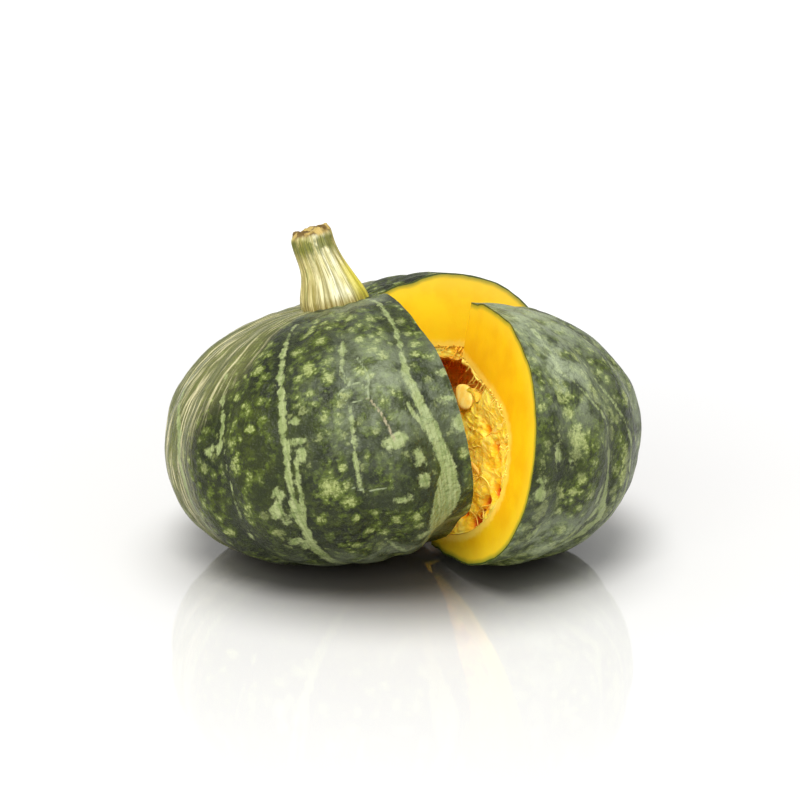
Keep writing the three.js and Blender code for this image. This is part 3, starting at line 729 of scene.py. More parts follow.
def rind_finish():
    """Dark green skin with torn pale stripes, starry mottles, specks, and khaki streaks that run to the
    stem on its sun-bleached side, over a leathery waxy surface. A grey haze over it is partly a waxy coat
    and partly painted sheen and reflection, and the khaki streaks on the wedge's top are a painted
    reflection."""
    rind = Finish("mottled_green_rind")
    ragged = rind.noise(0.0026, 4.0, 0.62)
    fine = rind.noise(0.0011, 3.0, 0.62)
    edge = rind.value("stripe")
    ground = sun_and_sheen_ground(rind, mottled_ground(rind, ragged, fine, edge))
    nibbled = rind.noise(0.0052, 4.0, 0.6, where=rind.warped(rind.where, 0.006, 0.004))
    torn_edge = rind.stirred(rind.stirred(edge, nibbled, 6.0), fine, 1.0)
    stripe = rind.times(rind.step(torn_edge, 0.6, -0.7), 0.94)
    colour = rind.mix(stripe, ground, pale_stripe(rind))
    # Grey haze, partly a waxy coat and partly painted sheen and painted reflection, at the places in the
    # tables above.
    dust_and_sheen = rind.step(rind.noise(0.012, 4.0, 0.62), 0.38, 0.6, 0.15, 1.0)
    dust_and_sheen = rind.times(dust_and_sheen, rind.value("bloom"))
    colour = rind.mix(rind.times(dust_and_sheen, 0.5), colour, (160, 170, 138))
    corky = rind.stirred(rind.value("scar"), fine, 1.2)
    colour = rind.cover(colour, corky, 0.85, 0.3, (158, 148, 116), 0.9)
    creasing = rind.stirred(rind.value("fold"), ragged, 1.6)
    colour = rind.cover(colour, creasing, 0.95, 0.25, (146, 156, 118), 0.85)
    gloss = rind.maths("MULTIPLY_ADD", rind.noise(0.005, 3.0), 0.2, 0.27)
    rind.shade(Base_Color=colour, Roughness=gloss, Normal=rind_relief(rind, creasing, stripe),
               Specular_IOR_Level=0.24)
    return rind.material


def flesh_finish(name, yellow, deep):
    """Firm flesh: a thin green line under the skin, greenish for two or three millimetres,
    then golden yellow with faint grain, a knife's shine, and a little depth."""
    flesh = Finish(name)
    depth = flesh.stirred(flesh.value("rind_depth"), flesh.noise(0.006), 0.9)
    mottle = flesh.noise(0.012, 3.0)
    golden = flesh.mix(flesh.step(mottle, 0.35, 0.7), yellow, deep)
    golden = flesh.mix(flesh.step(depth, 2.0, 11.0, 0.5, 0.0), golden, (244, 212, 52))
    golden = flesh.mix(flesh.step(depth, 14.0, 27.0, 0.0, 0.35), golden, deep)
    greenish = flesh.mix(flesh.step(depth, 0.9, 3.4), (166, 158, 42), golden)
    colour = flesh.mix(flesh.step(depth, 0.5, 1.0), (58, 78, 30), greenish)
    soft = flesh.noise(0.003, 4.0, 0.6)
    near_pulp = flesh.stirred(flesh.value("from_pulp"), soft, 5.0)
    colour = flesh.cover(colour, near_pulp, 4.2, 1.2, (255, 222, 92), 0.8)
    relief = flesh.bump(flesh.noise(0.0009, 3.0, 0.6), 0.00018, 0.5)
    relief = flesh.bump(flesh.noise(0.007, 1.0), 0.0005, 0.4, relief)
    flesh.shade(Base_Color=colour, Roughness=0.42, Normal=relief, Subsurface_Weight=0.12,
                Subsurface_Radius=(1.0, 0.5, 0.12), Subsurface_Scale=0.003)
    return flesh.material


def hollow_finish():
    """The wall of the hollow: wet deep orange, stringy up and down."""
    wall = Finish("wet_orange_hollow_wall")
    upright = wall.warped(wall.scaled(wall.where, (1.0, 1.0, 0.35)), 0.006, 0.003)
    threads = wall.noise(0.0022, 3.0, 0.6, where=upright)
    colour = wall.mix(wall.step(threads, 0.4, 0.66), (244, 112, 14), (255, 156, 44))
    wall.shade(Base_Color=colour, Roughness=0.35, Normal=wall.bump(threads, 0.0012, 0.8))
    return wall.material


def pulp_finish(name, deep, middle, crest, gold):
    """Fibrous pulp, moist: golden on its crests and cut faces, deeper orange where its relief sinks, and
    deep orange in its pits. The colours are the pulp's own, and the darkening in its hollows and pits is
    also painted shade.
    """
    pulp = Finish(name)
    flat = pulp.warped(pulp.scaled(pulp.where, (0.7, 0.7, 1.8)), 0.005, 0.004)
    threads = pulp.noise(0.0021, 4.0, 0.64, where=flat)
    raised = pulp.stirred(pulp.value("relief"), threads, 3.4)
    speckle = pulp.maths("ADD", pulp.noise(0.009), pulp.times(threads, 0.6))
    pale = pulp.cover(gold, speckle, 0.7, 0.92, (255, 234, 102))
    # Darker where the relief sinks: partly the pulp's own colour, partly painted shade.
    lit = pulp.mix(pulp.step(raised, -2.8, -0.2), (252, 188, 30), pale)
    inner = pulp.mix(pulp.step(raised, -2.4, 0.6), middle, crest)
    colour = pulp.mix(pulp.value("cut_face"), inner, lit)
    # Painted shade: the pits darkened to deep orange.
    colour = pulp.mix(pulp.step(raised, -5.0, -2.9), deep, colour)
    pulp.shade(Base_Color=colour, Roughness=0.55, Normal=pulp.bump(threads, 0.0008, 0.6),
               Specular_IOR_Level=0.14, Subsurface_Weight=0.5,
               Subsurface_Radius=(1.0, 0.6, 0.15), Subsurface_Scale=0.004)
    return pulp.material


def strand_finish(name, pale, deep):
    """Moist fibres, each with its own tone between a pale and a deep one."""
    strand = Finish(name)
    colour = strand.mix(strand.value("tone"), pale, deep)
    relief = strand.bump(strand.noise(0.003), 0.0004, 0.5)
    strand.shade(Base_Color=colour, Roughness=0.45, Specular_IOR_Level=0.16, Normal=relief)
    return strand.material


def seed_finish():
    """Cream seeds under a slippery film, darker round the rim."""
    seed = Finish("cream_seed_coat")
    clouds = seed.noise(0.0035, 3.0)
    colour = seed.mix(seed.step(clouds, 0.35, 0.7), (254, 220, 96), (255, 238, 140))
    colour = seed.cover(colour, seed.value("tone"), 0.78, 1.0, (240, 182, 74))
    seed.shade(Base_Color=colour, Roughness=0.4, Specular_IOR_Level=0.2,
               Normal=seed.bump(clouds, 0.0006, 0.5), Subsurface_Weight=0.1,
               Subsurface_Radius=(1.0, 0.6, 0.3), Subsurface_Scale=0.002)
    return seed.material


def stem_finish():
    """Corky stem: cream ridges, tan grooves, green patches under a torn brown end, a tan foot,
    and a yellow flank where it is still fresh."""
    stem = Finish("corky_cream_stem")
    up = stem.node("SeparateXYZ", {0: stem.chart}).outputs[1]
    fibres = stem.noise(1.0, 4.0, 0.62, where=stem.warped(stem.on_chart(44.0, 2.2), 1.5, 0.6))
    lines = stem.streaks(76.0, 1.3)
    hairs = stem.streaks(150.0, 2.4)
    mossy = stem.streaks(20.0, 3.0, 3.0, 0.6)
    blotch = stem.noise(0.006, 3.0)
    cream = stem.mix(stem.step(fibres, 0.35, 0.62), (226, 218, 156), (255, 252, 218))
    tan = stem.mix(stem.step(fibres, 0.38, 0.66), (158, 142, 78), (226, 214, 146))
    colour = stem.mix(stem.value("pale_side"), tan, cream)
    colour = stem.cover(colour, stem.value("groove"), 0.45, 0.95, (140, 130, 48), 0.6)
    colour = stem.cover(colour, lines, 0.55, 0.62, (112, 102, 30), 0.62)
    colour = stem.cover(colour, hairs, 0.54, 0.64, (116, 108, 36), 0.48)
    colour = stem.cover(colour, mossy, 0.56, 0.66, (126, 134, 44), 0.5)
    green = stem.times(stem.step(up, 0.6, 0.82), stem.step(up, 1.0, 0.9))
    green = stem.times(green, stem.step(stem.maths("ADD", fibres, blotch), 0.84, 1.0))
    green_tone = stem.mix(stem.step(hairs, 0.42, 0.58), (122, 124, 26), (62, 74, 8))
    colour = stem.mix(stem.times(green, 0.85), colour, green_tone)
    colour = stem.mix(stem.times(stem.value("fresh"), 0.9), colour, (214, 202, 52))
    foot = stem.times(stem.step(up, 0.2, 0.02), stem.step(lines, 0.42, 0.56))
    colour = stem.mix(stem.times(foot, 0.7), colour, (130, 108, 44))
    cut = stem.step(stem.maths("MULTIPLY_ADD", blotch, 0.1, up), 0.99, 1.05)
    torn = stem.mix(stem.step(blotch, 0.42, 0.6), (104, 80, 30), (190, 164, 92))
    relief = stem.bump(fibres, 0.0009, 0.8)
    relief = stem.bump(stem.noise(0.0012, 3.0, 0.65), 0.0004, 0.6, relief)
    stem.shade(Base_Color=stem.mix(cut, colour, torn), Roughness=0.6, Normal=relief,
               Specular_IOR_Level=0.35)
    return stem.material


def floor_finish():
    """A white table top, polished near the middle and matt further out, a little greyer near the middle,
    and with a painted shadow of dark grey right under the squash."""
    floor = Finish("white_table_top")
    colour = floor.mix(floor.noise(0.4), (247, 247, 247), (250, 250, 250))
    away = floor.node("VectorMath", {0: floor.where}, operation="LENGTH").outputs["Value"]
    colour = floor.mix(floor.step(away, 0.15, 0.5), (238, 237, 235), colour)
    # Painted shadow: dark grey under the squash, gone by 14 cm from the middle.
    colour = floor.mix(floor.step(away, 0.06, 0.14), (116, 113, 108), colour)
    floor.shade(Base_Color=colour, Roughness=floor.step(away, 0.2, 0.9, 0.05, 0.8), IOR=2.2)
    return floor.material


# ---- the cut squash ----
SKIN_ROWS = (16, 120, 18)
SKIN_COLUMNS = (420, 168)  # for the body and for the wedge
CAVITY_ROWS = (6, 92, 10)
CAVITY_COLUMNS = 96
# Shares of the way from the rim to the inner edge, closest near the rim.
FACE_SPREAD = np.array([0.0, 0.008, 0.02, 0.04, 0.07, 0.11, 0.16, 0.22, 0.29, 0.37, 0.46, 0.55, 0.64,
                        0.73, 0.82, 0.91, 1.0])
DEEP = 60.0  # rind depth on the hollow's wall, past every colour change
SUNNED_AT = math.radians(150.0)


def framed_face(rim, cavity_rim, spread):
    """A cut face from the outer rim to an inner edge, which runs from the bottom up: along the
    cuts' line to the cavity, round the cavity's rim, and along the line again."""
    spare = len(rim) - len(cavity_rim)
    below = spare * 2 // 5
    low = np.linspace(rim[0], cavity_rim[0], below + 1)[:-1]
    high = np.linspace(cavity_rim[-1], rim[-1], spare - below + 1)[1:]
    return cut_face(rim, np.concatenate([low, cavity_rim, high]), spread)


def sun_and_sheen_share(latitude, azimuth, wedge):
    """How far the sun has bleached the skin, 0 to 1: the body's flank round SUNNED_AT, wider near the
    stem; and the top of the wedge by half, where it is a painted reflection instead."""
    level = np.degrees(latitude)
    if wedge:
        # The wedge's top: a painted reflection, given as half of the khaki.
        return 0.5 * smooth(level, 52.0, 70.0)
    side = np.degrees(np.abs(turn_between(azimuth, SUNNED_AT)))
    sunned = 1.0 - smooth(side - 16.0 * smooth(level, 10.0, 50.0), 54.0, 72.0)
    return sunned * (0.55 + 0.45 * smooth(level, -60.0, 20.0))


def skin_values(points, latitude, azimuth, wedge, covered):
    """The values that the rind's finish reads. Stripes get their own only in the valleys
    outside the covered azimuths."""
    girth = np.hypot(points[..., 0], points[..., 1])
    at = (latitude, azimuth)
    stripes, blotches = (WEDGE_STRIPES, WEDGE_BLOTCHES) if wedge else (BODY_STRIPES, BODY_BLOTCHES)
    return {
        "stripe": stripe_edge(*at, girth, stripes, blotches, covered),
        "sunned": sun_and_sheen_share(*at, wedge),
        "scar": path_distance(*at, () if wedge else (SCAR,)),
        "fold": path_distance(*at, WEDGE_FOLDS if wedge else BODY_FOLDS),
        "bloom": 1.5 * patch_share(*at, WEDGE_BLOOM_AND_SHEEN) if wedge else patch_share(*at, BODY_BLOOM_AND_SHEEN),
        "spotty": np.full(girth.shape, 1.25) if wedge else 0.8 - 0.25 * patch_share(*at, BODY_CALM),
        "star": star_field(*at, girth, WEDGE_STARS if wedge else BODY_STARS),
    }


def cut_squash(name, cheeks, wedge, place, covered, finishes):
    """A closed piece of squash: skin, two cut faces, and the wall of the cavity. The skin sinks
    at its folds by a bell of their depth."""
    shape = Shape()
    points, latitude, azimuth, first, last = patch(
        lambda level, at: skin(level, at, cheeks), SKIN_ROWS, SKIN_COLUMNS[wedge], wedge)
    values = skin_values(points, latitude, azimuth, wedge, covered)
    chart = np.stack([azimuth / TURN, latitude / (TURN / 2) + 0.5], axis=-1)
    sunk = FOLD_DEPTH * bell(values["fold"] / FOLD_HALF) / np.linalg.norm(points, axis=-1)
    points = points * (1.0 - sunk)[..., None]
    shape.grid(points, 0, chart, **values)
    inner, _, _, inner_first, inner_last = patch(cavity, CAVITY_ROWS, CAVITY_COLUMNS, wedge)
    shape.grid(inner, 2, rind_depth=np.full(inner.shape[:2], DEEP))
    for column in (0, -1):
        rim = points[first:last + 1, column]
        cavity_rim = inner[inner_first:inner_last + 1, column]
        face = framed_face(rim, cavity_rim, FACE_SPREAD)
        flat = face.reshape(-1, 3)
        shape.grid(face, 1, rind_depth=distance_to_path(flat, rim),
                   from_pulp=distance_to_path(flat, cavity_rim))
    return shape.piece(name, place, finishes, sharp=38)


# ---- pulp ----
TOP_ROUNDING = 1.6  # millimetres
PULP_LOW = -49.0  # lowest fibre
# Pits between the fibres: distance from the cuts' line, height, radius, depth.
FRONT_PITS = ((55.5, -19.8, 3.2, 7.0), (47.5, -27.0, 3.1, 8.0), (43.0, -34.6, 3.0, 8.0),
              (38.0, -39.5, 3.2, 7.0), (57.3, -13.8, 2.0, 4.5), (46.8, -1.0, 2.6, 4.5),
              (26.0, -36.0, 3.4, 5.0), (53.0, -7.0, 1.6, 3.0), (36.0, 4.0, 2.2, 3.4),
              (58.0, 1.0, 1.4, 2.6))
BACK_PITS = ((58, -18, 4.0, 7.0), (40, -30, 4.4, 7.0), (22, -6, 3.6, 5.0), (50, 6, 3.8, 5.0),
             (30, 10, 4.0, 5.0), (62, -6, 2.8, 5.0))
# The wedge pulp's faces: cut, side that the pulp is on (1 counter-clockwise of the cut, -1
# clockwise), seed of the relief, and pits.
FRONT_FACE = (CUT_FRONT, 1, 60, FRONT_PITS)
BACK_FACE = (CUT_BACK, -1, 80, BACK_PITS)
# Seeds of the body pulp's relief, on the lining and on its faces.
LINING_SEED = 70
EDGE_SEED = 75


def fibrous(points, seed):
    """Relief of the fibres, in millimetres: rounded cords where a stretched, bent cloud
    crosses zero, over broad lumps. The cloud is long across the face and short up it."""
    bent = points + 3.2 * np.stack([cloud(points, 8.0, seed + k) for k in range(3)], axis=-1)
    bent = bent @ np.array([[1.0, 0.0, 0.18], [0.0, 1.0, 0.0], [-0.18, 0.0, 1.0]])
    cords = bell(cloud(bent, (10.0, 10.0, 3.2), seed + 4) / 0.36)
    threads = bell(cloud(bent, (5.0, 5.0, 1.5), seed + 5) / 0.34)
    lump = cloud(points, 8.0, seed + 6)
    return 0.7 * cords + 0.5 * threads + 1.4 * lump + 0.4 * cloud(points, 2.0, seed + 7) - 0.7


def direction(cut):
    """Level direction from the cuts' line along a cut."""
    return np.array([math.cos(cut), math.sin(cut), 0.0])


def outward_of(cut, inward):
    """Direction out of a cut face, away from the side that the pulp is on."""
    return inward * np.array([math.sin(cut), -math.cos(cut), 0.0])


def on_cut(cut, inward, away, height, out):
    """Points at a distance from the cuts' line, a height, and a way out of the cut face."""
    base = np.concatenate([cut_line(height), np.asarray(height)[..., None]], axis=-1)
    return base + away[..., None] * direction(cut) + out[..., None] * outward_of(cut, inward)


def pulp_reach(height):
    """How far the pulp runs from the cuts' line at a height, by the cavity's own ellipse."""
    upper = height >= CAVITY_CENTRE
    squareness = np.where(upper, *CAVITY_SQUARENESS)
    rise = np.abs(height - CAVITY_CENTRE) / np.where(upper, *CAVITY_HEIGHT)
    share = np.maximum(0.0, 1.0 - rise ** squareness) ** (1.0 / squareness)
    return np.maximum(0.0, CAVITY_RADIUS * share - PULP_EDGE)


def pit_depth(away, height, pits):
    """Depth of the pits: for each, its depth times a bell of its radius."""
    total = np.zeros(np.shape(away))
    for at, level, radius, depth in pits:
        total += 1.4 * depth * np.exp(-((away - at) ** 2 + (height - level) ** 2) / radius ** 2)
    return total


def face_relief(points, face):
    """The relief of a pulp face at points on it, and how far they are from the cuts' line."""
    cut, _, seed, pits = face
    away = (points[..., :2] - cut_line(points[..., 2])) @ direction(cut)[:2]
    return fibrous(points, seed) - pit_depth(away, points[..., 2], pits), away


def stands_out(relief):
    """How far a pulp face stands out of the cut for a relief, in millimetres."""
    return 0.7 * relief - 1.0


def pulp_top(points):
    """Height of the wedge pulp's top over points: lumpy, and higher near the wall."""
    level = points * np.array([1.0, 1.0, 0.0])
    rise = smooth(np.hypot(points[..., 0], points[..., 1]), PULP_RISE[1], PULP_RISE[2])
    lumps = 3.8 * cloud(level, 9.0, 51) + 1.6 * cloud(level, 3.6, 52)
    return PULP_TOP - 3.6 + PULP_RISE[0] * rise + lumps


def settled(points):
    """Points let down along the cuts' line so that none is above the pulp's top: below it they
    hardly move, and above it they come to rest just under it, in the order they had."""
    over = points[..., 2] - pulp_top(points)
    down = (over + np.hypot(over, 2.0 * TOP_ROUNDING)) / 2.0
    slope = (cut_line(1.0) - cut_line(0.0)).tolist() + [1.0]
    return points - down[..., None] * np.array(slope)


def wedge_pulp_mass(finishes):
    """The wedge's pulp: the cavity's form under a lumpy top, between two fibrous faces."""
    shape = Shape()
    uncut, _, _, _, _ = patch(lambda level, at: cavity(level, at, FIT_GAP), (0, 206, 0), 60, True)
    points = settled(uncut)
    flat_top = points[..., 2] > PULP_TOP - 8.0
    shape.grid(points, 0, relief=np.where(flat_top, 1.6 * cloud(points, 3.6, 52), 0.0),
               cut_face=np.where(flat_top, 0.15, 1.0))
    height = uncut[:, 0, 2:]
    middle = np.concatenate([cut_line(height[:, 0]), height], axis=-1)
    for column, face in ((0, FRONT_FACE), (-1, BACK_FACE)):
        points = settled(cut_face(uncut[:, column], middle, np.linspace(0.0, 1.0, 166)))
        relief, away = face_relief(points, face)
        from_rim = np.linalg.norm(points - points[:, :1], axis=-1)
        held = smooth(from_rim, 0.0, 2.4) * smooth(away, 0.0, 4.0)
        held = held * smooth(pulp_top(points) - points[..., 2], TOP_ROUNDING, 4.6)
        points = points + (stands_out(relief) * held)[..., None] * outward_of(*face[:2])
        shape.grid(points, 0, relief=relief, cut_face=np.ones(relief.shape))
    return shape.piece("wedge_pulp_mass", wedge_place, finishes)


def lining(latitude):
    """Thickness of the body's pulp: blended from the sides to the roof and the floor."""
    side, roof, floor = LINING
    upper = np.maximum(0.0, np.sin(latitude))
    lower = np.maximum(0.0, -np.sin(latitude))
    return side + (roof - side) * upper + (floor - side) * lower


def body_pulp_mass(finishes):
    """The body's pulp: a lumpy fibrous lining of the cavity, thin under the roof."""
    def inside(latitude, azimuth):
        latitude, azimuth = np.broadcast_arrays(latitude, azimuth)
        lumps = np.clip(fibrous(cavity(latitude, azimuth), LINING_SEED), -2.4, 2.4)
        return cavity(latitude, azimuth, lining(latitude) + lumps)

    shape = Shape()
    outer, _, _, first, last = patch(lambda level, at: cavity(level, at, FIT_GAP), (5, 90, 7), 60, False)
    inner, _, _, inner_first, inner_last = patch(inside, (5, 70, 8), 300, False)
    shape.grid(outer, 0)
    shape.grid(inner, 0, relief=fibrous(inner, LINING_SEED), cut_face=np.zeros(inner.shape[:2]))
    share = np.linspace(0.0, 1.0, 26)
    held = np.sin(share * TURN / 2) ** 0.5
    for column, cut, inward in ((0, CUT_BACK, 1), (-1, CUT_FRONT, -1)):
        cavity_rim = inner[inner_first:inner_last + 1, column]
        face = framed_face(outer[first:last + 1, column], cavity_rim, share)
        relief = fibrous(face, EDGE_SEED)
        face = face + ((relief * 0.6 - 0.5) * held)[..., None] * outward_of(cut, inward)
        cut_share = np.broadcast_to(1.0 - smooth(share, 0.7, 1.0), relief.shape)
        shape.grid(face, 0, relief=relief, cut_face=cut_share)
    return shape.piece("body_pulp_mass", body_place, finishes)


# ---- fibres ----
def tubes(shape, paths, radii, sides, flatness, tone):
    """Adds fibres: each path gets rings of points about it, in the plane across the path, of
    the radius there, flattened one way. A radius of 0 closes the end."""
    ahead = unit(np.gradient(paths, axis=1))
    aside = unit(np.cross(ahead, np.array([0.31, 0.17, 0.93])))
    above = np.cross(aside, ahead)
    angle = (np.arange(sides) * TURN / sides)[:, None]
    ring = aside[:, :, None] * np.cos(angle)
    ring = ring + above[:, :, None] * np.sin(angle) * flatness[:, None, None, None]
    points = paths[:, :, None] + ring * radii[:, :, None, None]
    count, steps = paths.shape[:2]
    index = np.arange(count * steps * sides).reshape(count, steps, sides)
    after = np.roll(index, -1, axis=2)
    a, b, c, d = index[:, :-1], after[:, :-1], after[:, 1:], index[:, 1:]
    faces = [np.stack([x.ravel() for x in corners], 1) for corners in ((a, b, c), (a, c, d))]
    tones = np.broadcast_to(tone[:, None, None], points.shape[:3])
    shape.add(points.reshape(-1, 3), np.concatenate(faces) + shape.count, tone=tones)


def rim_at(cut, place):
    """The cavity's upper rim on a cut, at shares of the way up it: the distance from the cuts'
    line and the height."""
    latitude = np.linspace(0.0, apex_latitude(cavity, 1)[0] - 0.001, 40)
    rim = cavity(latitude, cut_azimuth(cavity, latitude, cut))
    reach = (rim[:, :2] - cut_line(rim[:, 2])) @ direction(cut)[:2]
    spots_up = np.linspace(0.0, 1.0, len(rim))
    return np.interp(place, spots_up, reach), np.interp(place, spots_up, rim[:, 2])


def face_fibres(shape, draw, count, face):
    """Fibres over a cut face of the wedge's pulp. Each starts somewhere on the face, runs
    mostly across it with a wander, rises off the relief in its middle and sinks at its ends."""
    one = (count, 1)
    start = draw.uniform(-47.0, PULP_TOP - 2.0, count)
    from_line = pulp_reach(start) * draw.uniform(0.02, 0.97, count) ** 0.8
    heading = draw.normal(0.15, 0.5, one)
    length = draw.uniform(9.0, 30.0, one)
    share = np.linspace(-0.5, 0.5, 13)
    bend = draw.normal(0.0, 1.1, one) * share ** 2 * length * 0.5
    run = share * length
    away = from_line[:, None] + run * np.cos(heading) - bend * np.sin(heading)
    height = start[:, None] + run * np.sin(heading) + bend * np.cos(heading)
    wave = draw.uniform(0.0, TURN, (count, 2))
    height = height + 0.7 * np.sin(share * 14.0 + wave[:, :1]) * draw.uniform(0.2, 1.0, one)
    height = np.clip(height, PULP_LOW, PULP_TOP - 1.0)
    away = np.clip(away, 0.6, np.maximum(pulp_reach(height) - 1.6, 0.6))
    relief, _ = face_relief(on_cut(*face[:2], away, height, np.zeros_like(away)), face)
    arch = 1.0 - (2.0 * share) ** 2
    out = np.maximum(stands_out(relief), -3.4) + (draw.uniform(0.1, 0.8, one) * arch - 0.4)
    radius = draw.uniform(0.18, 0.4, one) * np.maximum(arch, 0.0) ** 0.45
    tubes(shape, on_cut(*face[:2], away, height, np.minimum(out, 1.6)), radius, 7,
          draw.uniform(0.6, 1.0, count), draw.uniform(0.0, 1.0, count))


def lining_fibres(shape, draw, count):
    """Fibres on the body's lining: each lies along the inner wall or hangs in from it."""
    one = (count, 1)
    latitude = np.arcsin(draw.uniform(-0.9, 0.98, one))
    azimuth = draw.uniform(CUT_BACK + 0.05, CUT_FRONT + TURN - 0.05, one)
    share = np.linspace(0.0, 1.0, 11)
    latitude = np.clip(latitude + draw.normal(0.0, 0.22, one) * share, -1.5, 1.5)
    azimuth = azimuth + draw.normal(0.0, 0.13, one) * share
    azimuth = np.clip(azimuth, CUT_BACK + 0.06, CUT_FRONT + TURN - 0.06)
    arch = 1.0 - (2.0 * share - 1.0) ** 2
    inset = lining(latitude) - 0.8 + draw.uniform(0.5, 5.0, one) * arch
    radius = draw.uniform(0.3, 0.9, one) * np.maximum(arch, 0.0) ** 0.45
    tubes(shape, cavity(latitude, azimuth, inset), radius, 5,
          draw.uniform(0.35, 1.0, count), draw.uniform(0.4, 1.0, count))


def edge_fibres(shape, draw, count, cut, inward, longest):
    """Short fibres along the roof's edge of a cut face: they start in the flesh at the
    cavity's rim, hang down, and curl out of the cut a little."""
    one = (count, 1)
    reach, height = rim_at(cut, draw.uniform(0.0, 1.0, one))
    share = np.linspace(0.0, 1.0, 9)
    length = draw.uniform(2.0, longest, one)
    lean = draw.normal(0.0, 0.5, one)
    away = reach + 0.8 - (0.55 + 0.3 * lean) * length * share
    height = height - (0.35 + lean) * length * share
    arch = np.sin(share * TURN / 2)
    out = -0.6 + draw.uniform(-1.6, 1.4, one) * arch
    radius = draw.uniform(0.2, 0.4, one) * np.maximum(arch, 0.0) ** 0.4
    tubes(shape, on_cut(cut, inward, np.maximum(away, 0.3), height, np.minimum(out, 0.6)), radius, 5,
          draw.uniform(0.4, 1.0, count), draw.uniform(0.0, 0.3, count))


def rim_cords(shape, draw, count, cut, inward):
    """Thick soft cords along the roof's edge of a cut face: each follows a stretch of the
    cavity's rim a little way inside it, wandering in and out."""
    one = (count, 1)
    share = np.linspace(0.0, 1.0, 13)
    start = draw.uniform(-0.05, 0.95, one)
    place = np.clip(start + draw.uniform(0.05, 0.16, one) * share, 0.0, 1.0)
    wander = draw.uniform(0.0, 2.6, one)
    wander = wander + 0.7 * np.sin(share * 7.0 + draw.uniform(0.0, TURN, one))
    reach, height = rim_at(cut, place)
    arch = np.sin(share * TURN / 2)
    radius = draw.uniform(0.6, 1.3, one) * np.maximum(arch, 0.0) ** 0.4
    out = -1.2 + draw.uniform(-1.4, 0.5, one) * arch
    away = np.maximum(reach - 0.6 * wander, 0.3)
    tubes(shape, on_cut(cut, inward, away, height - 0.8 * wander, out), radius, 8,
          draw.uniform(0.6, 1.0, count), draw.uniform(0.0, 0.3, count))


def wedge_strands(finishes):
    """Every fibre of the wedge's pulp."""
    draw = np.random.default_rng(21)
    shape = Shape()
    face_fibres(shape, draw, 44, FRONT_FACE)
    face_fibres(shape, draw, 90, BACK_FACE)
    for count, (cut, inward, _, _) in ((90, FRONT_FACE), (60, BACK_FACE)):
        edge_fibres(shape, draw, count, cut, inward, 6.0)
        rim_cords(shape, draw, 46, cut, inward)
    return shape.piece("wedge_pulp_strands", wedge_place, finishes)


def body_strands(finishes):
    """Every fibre of the body's pulp."""
    draw = np.random.default_rng(22)
    shape = Shape()
    lining_fibres(shape, draw, 520)
    for cut, inward, fibres, cords in ((CUT_BACK, 1, 130, 60), (CUT_FRONT, -1, 60, 40)):
        edge_fibres(shape, draw, fibres, cut, inward, 8.0)
        rim_cords(shape, draw, cords, cut, inward)
    return shape.piece("body_pulp_strands", body_place, finishes)


# ---- seeds ----
def seed_shape():
    """One seed along X: an ellipse drawn to a blunt point at one end, flat, with a raised rim.
    Rows run from end to end and columns round it."""
    along = -np.cos(np.linspace(0.0, TURN / 2, 15))[:, None]
    angle = np.arange(14) * TURN / 14
    width = np.sqrt(np.maximum(1.0 - along ** 2, 0.0))
    width = width * (1.0 - 0.34 * np.maximum(0.0, along + 0.1) ** 1.2)
    rim = 0.62 + 0.38 * np.abs(np.cos(angle)) ** 3
    x = along * np.ones(14) * SEED[0] / 2
    y = width * np.cos(angle) * SEED[1] / 2
    z = width ** 0.7 * np.sin(angle) * rim * SEED[2] / 2
    tone = np.abs(np.cos(angle)) ** 2 * np.ones((15, 1))
    return np.stack([x, y, z], axis=-1), tone


def seeds(shape, centres, ahead, flat, sizes):
    """Adds seeds at centres, each along its own direction and lying across its flat one."""
    points, tone = seed_shape()
    ahead = unit(ahead)
    aside = unit(np.cross(flat, ahead))
    frames = np.stack([ahead, aside, np.cross(ahead, aside)], axis=1)
    for centre, axes, size in zip(centres, frames, sizes):
        shape.grid(points * size @ axes + centre, 0, round_columns=True, tone=tone)


def wedge_seeds(finishes):
    """Seeds half sunk in the two faces of the wedge's pulp, and one on the front one's top."""
    draw = np.random.default_rng(7)
    shape = Shape()
    up = np.array([0.0, 0.0, 1.0])
    for count, face in ((7, FRONT_FACE), (9, BACK_FACE)):
        across, outward = direction(face[0]), outward_of(*face[:2])
        height = np.linspace(PULP_TOP - 7.0, -44.0, count) + draw.uniform(-1.5, 1.5, count)
        away = pulp_reach(height) * draw.uniform(0.22, 0.88, count)
        relief, _ = face_relief(on_cut(*face[:2], away, height, np.zeros(count)), face)
        out = stands_out(relief) - draw.uniform(0.6, 2.0, count)
        angle = draw.normal(0.0, 0.6, (count, 1))
        ahead = -np.cos(angle) * across + np.sin(angle) * up
        ahead = ahead + draw.uniform(-0.2, 0.2, (count, 1)) * outward
        flat = outward + draw.normal(0.0, 0.35, (count, 3))
        centres = on_cut(*face[:2], away, height, np.minimum(out, -0.6))
        seeds(shape, centres, ahead, flat, draw.uniform(0.78, 1.0, count))
    away, height, out = np.array([[8.5], [PULP_TOP - 5.2], [-0.3]])
    ahead = 0.3 * up - direction(CUT_FRONT)
    flat = outward_of(CUT_FRONT, 1) + np.array([0.0, -0.3, 0.2])
    seeds(shape, on_cut(CUT_FRONT, 1, away, height, out), ahead[None], flat[None], [1.1])
    return shape.piece("wedge_pulp_seeds", wedge_place, finishes)


def body_seeds(finishes):
    """Seeds hanging in the body's lining, their points towards the wall."""
    draw = np.random.default_rng(9)
    count = 46
    shape = Shape()
    latitude = np.arcsin(draw.uniform(-0.85, 0.35, count))
    azimuth = draw.uniform(CUT_BACK + 0.12, CUT_FRONT + TURN - 0.12, count)
    centres = cavity(latitude, azimuth, 16.5 - 8.0 * np.maximum(0.0, np.sin(latitude)))
    ahead = centres * np.array([1.0, 1.0, 0.6]) + draw.normal(0.0, 22.0, (count, 3))
    flat = unit(np.cross(ahead, draw.normal(0.0, 1.0, (count, 3))))
    seeds(shape, centres, ahead, flat, draw.uniform(0.8, 1.0, count))
    return shape.piece("body_pulp_seeds", body_place, finishes)


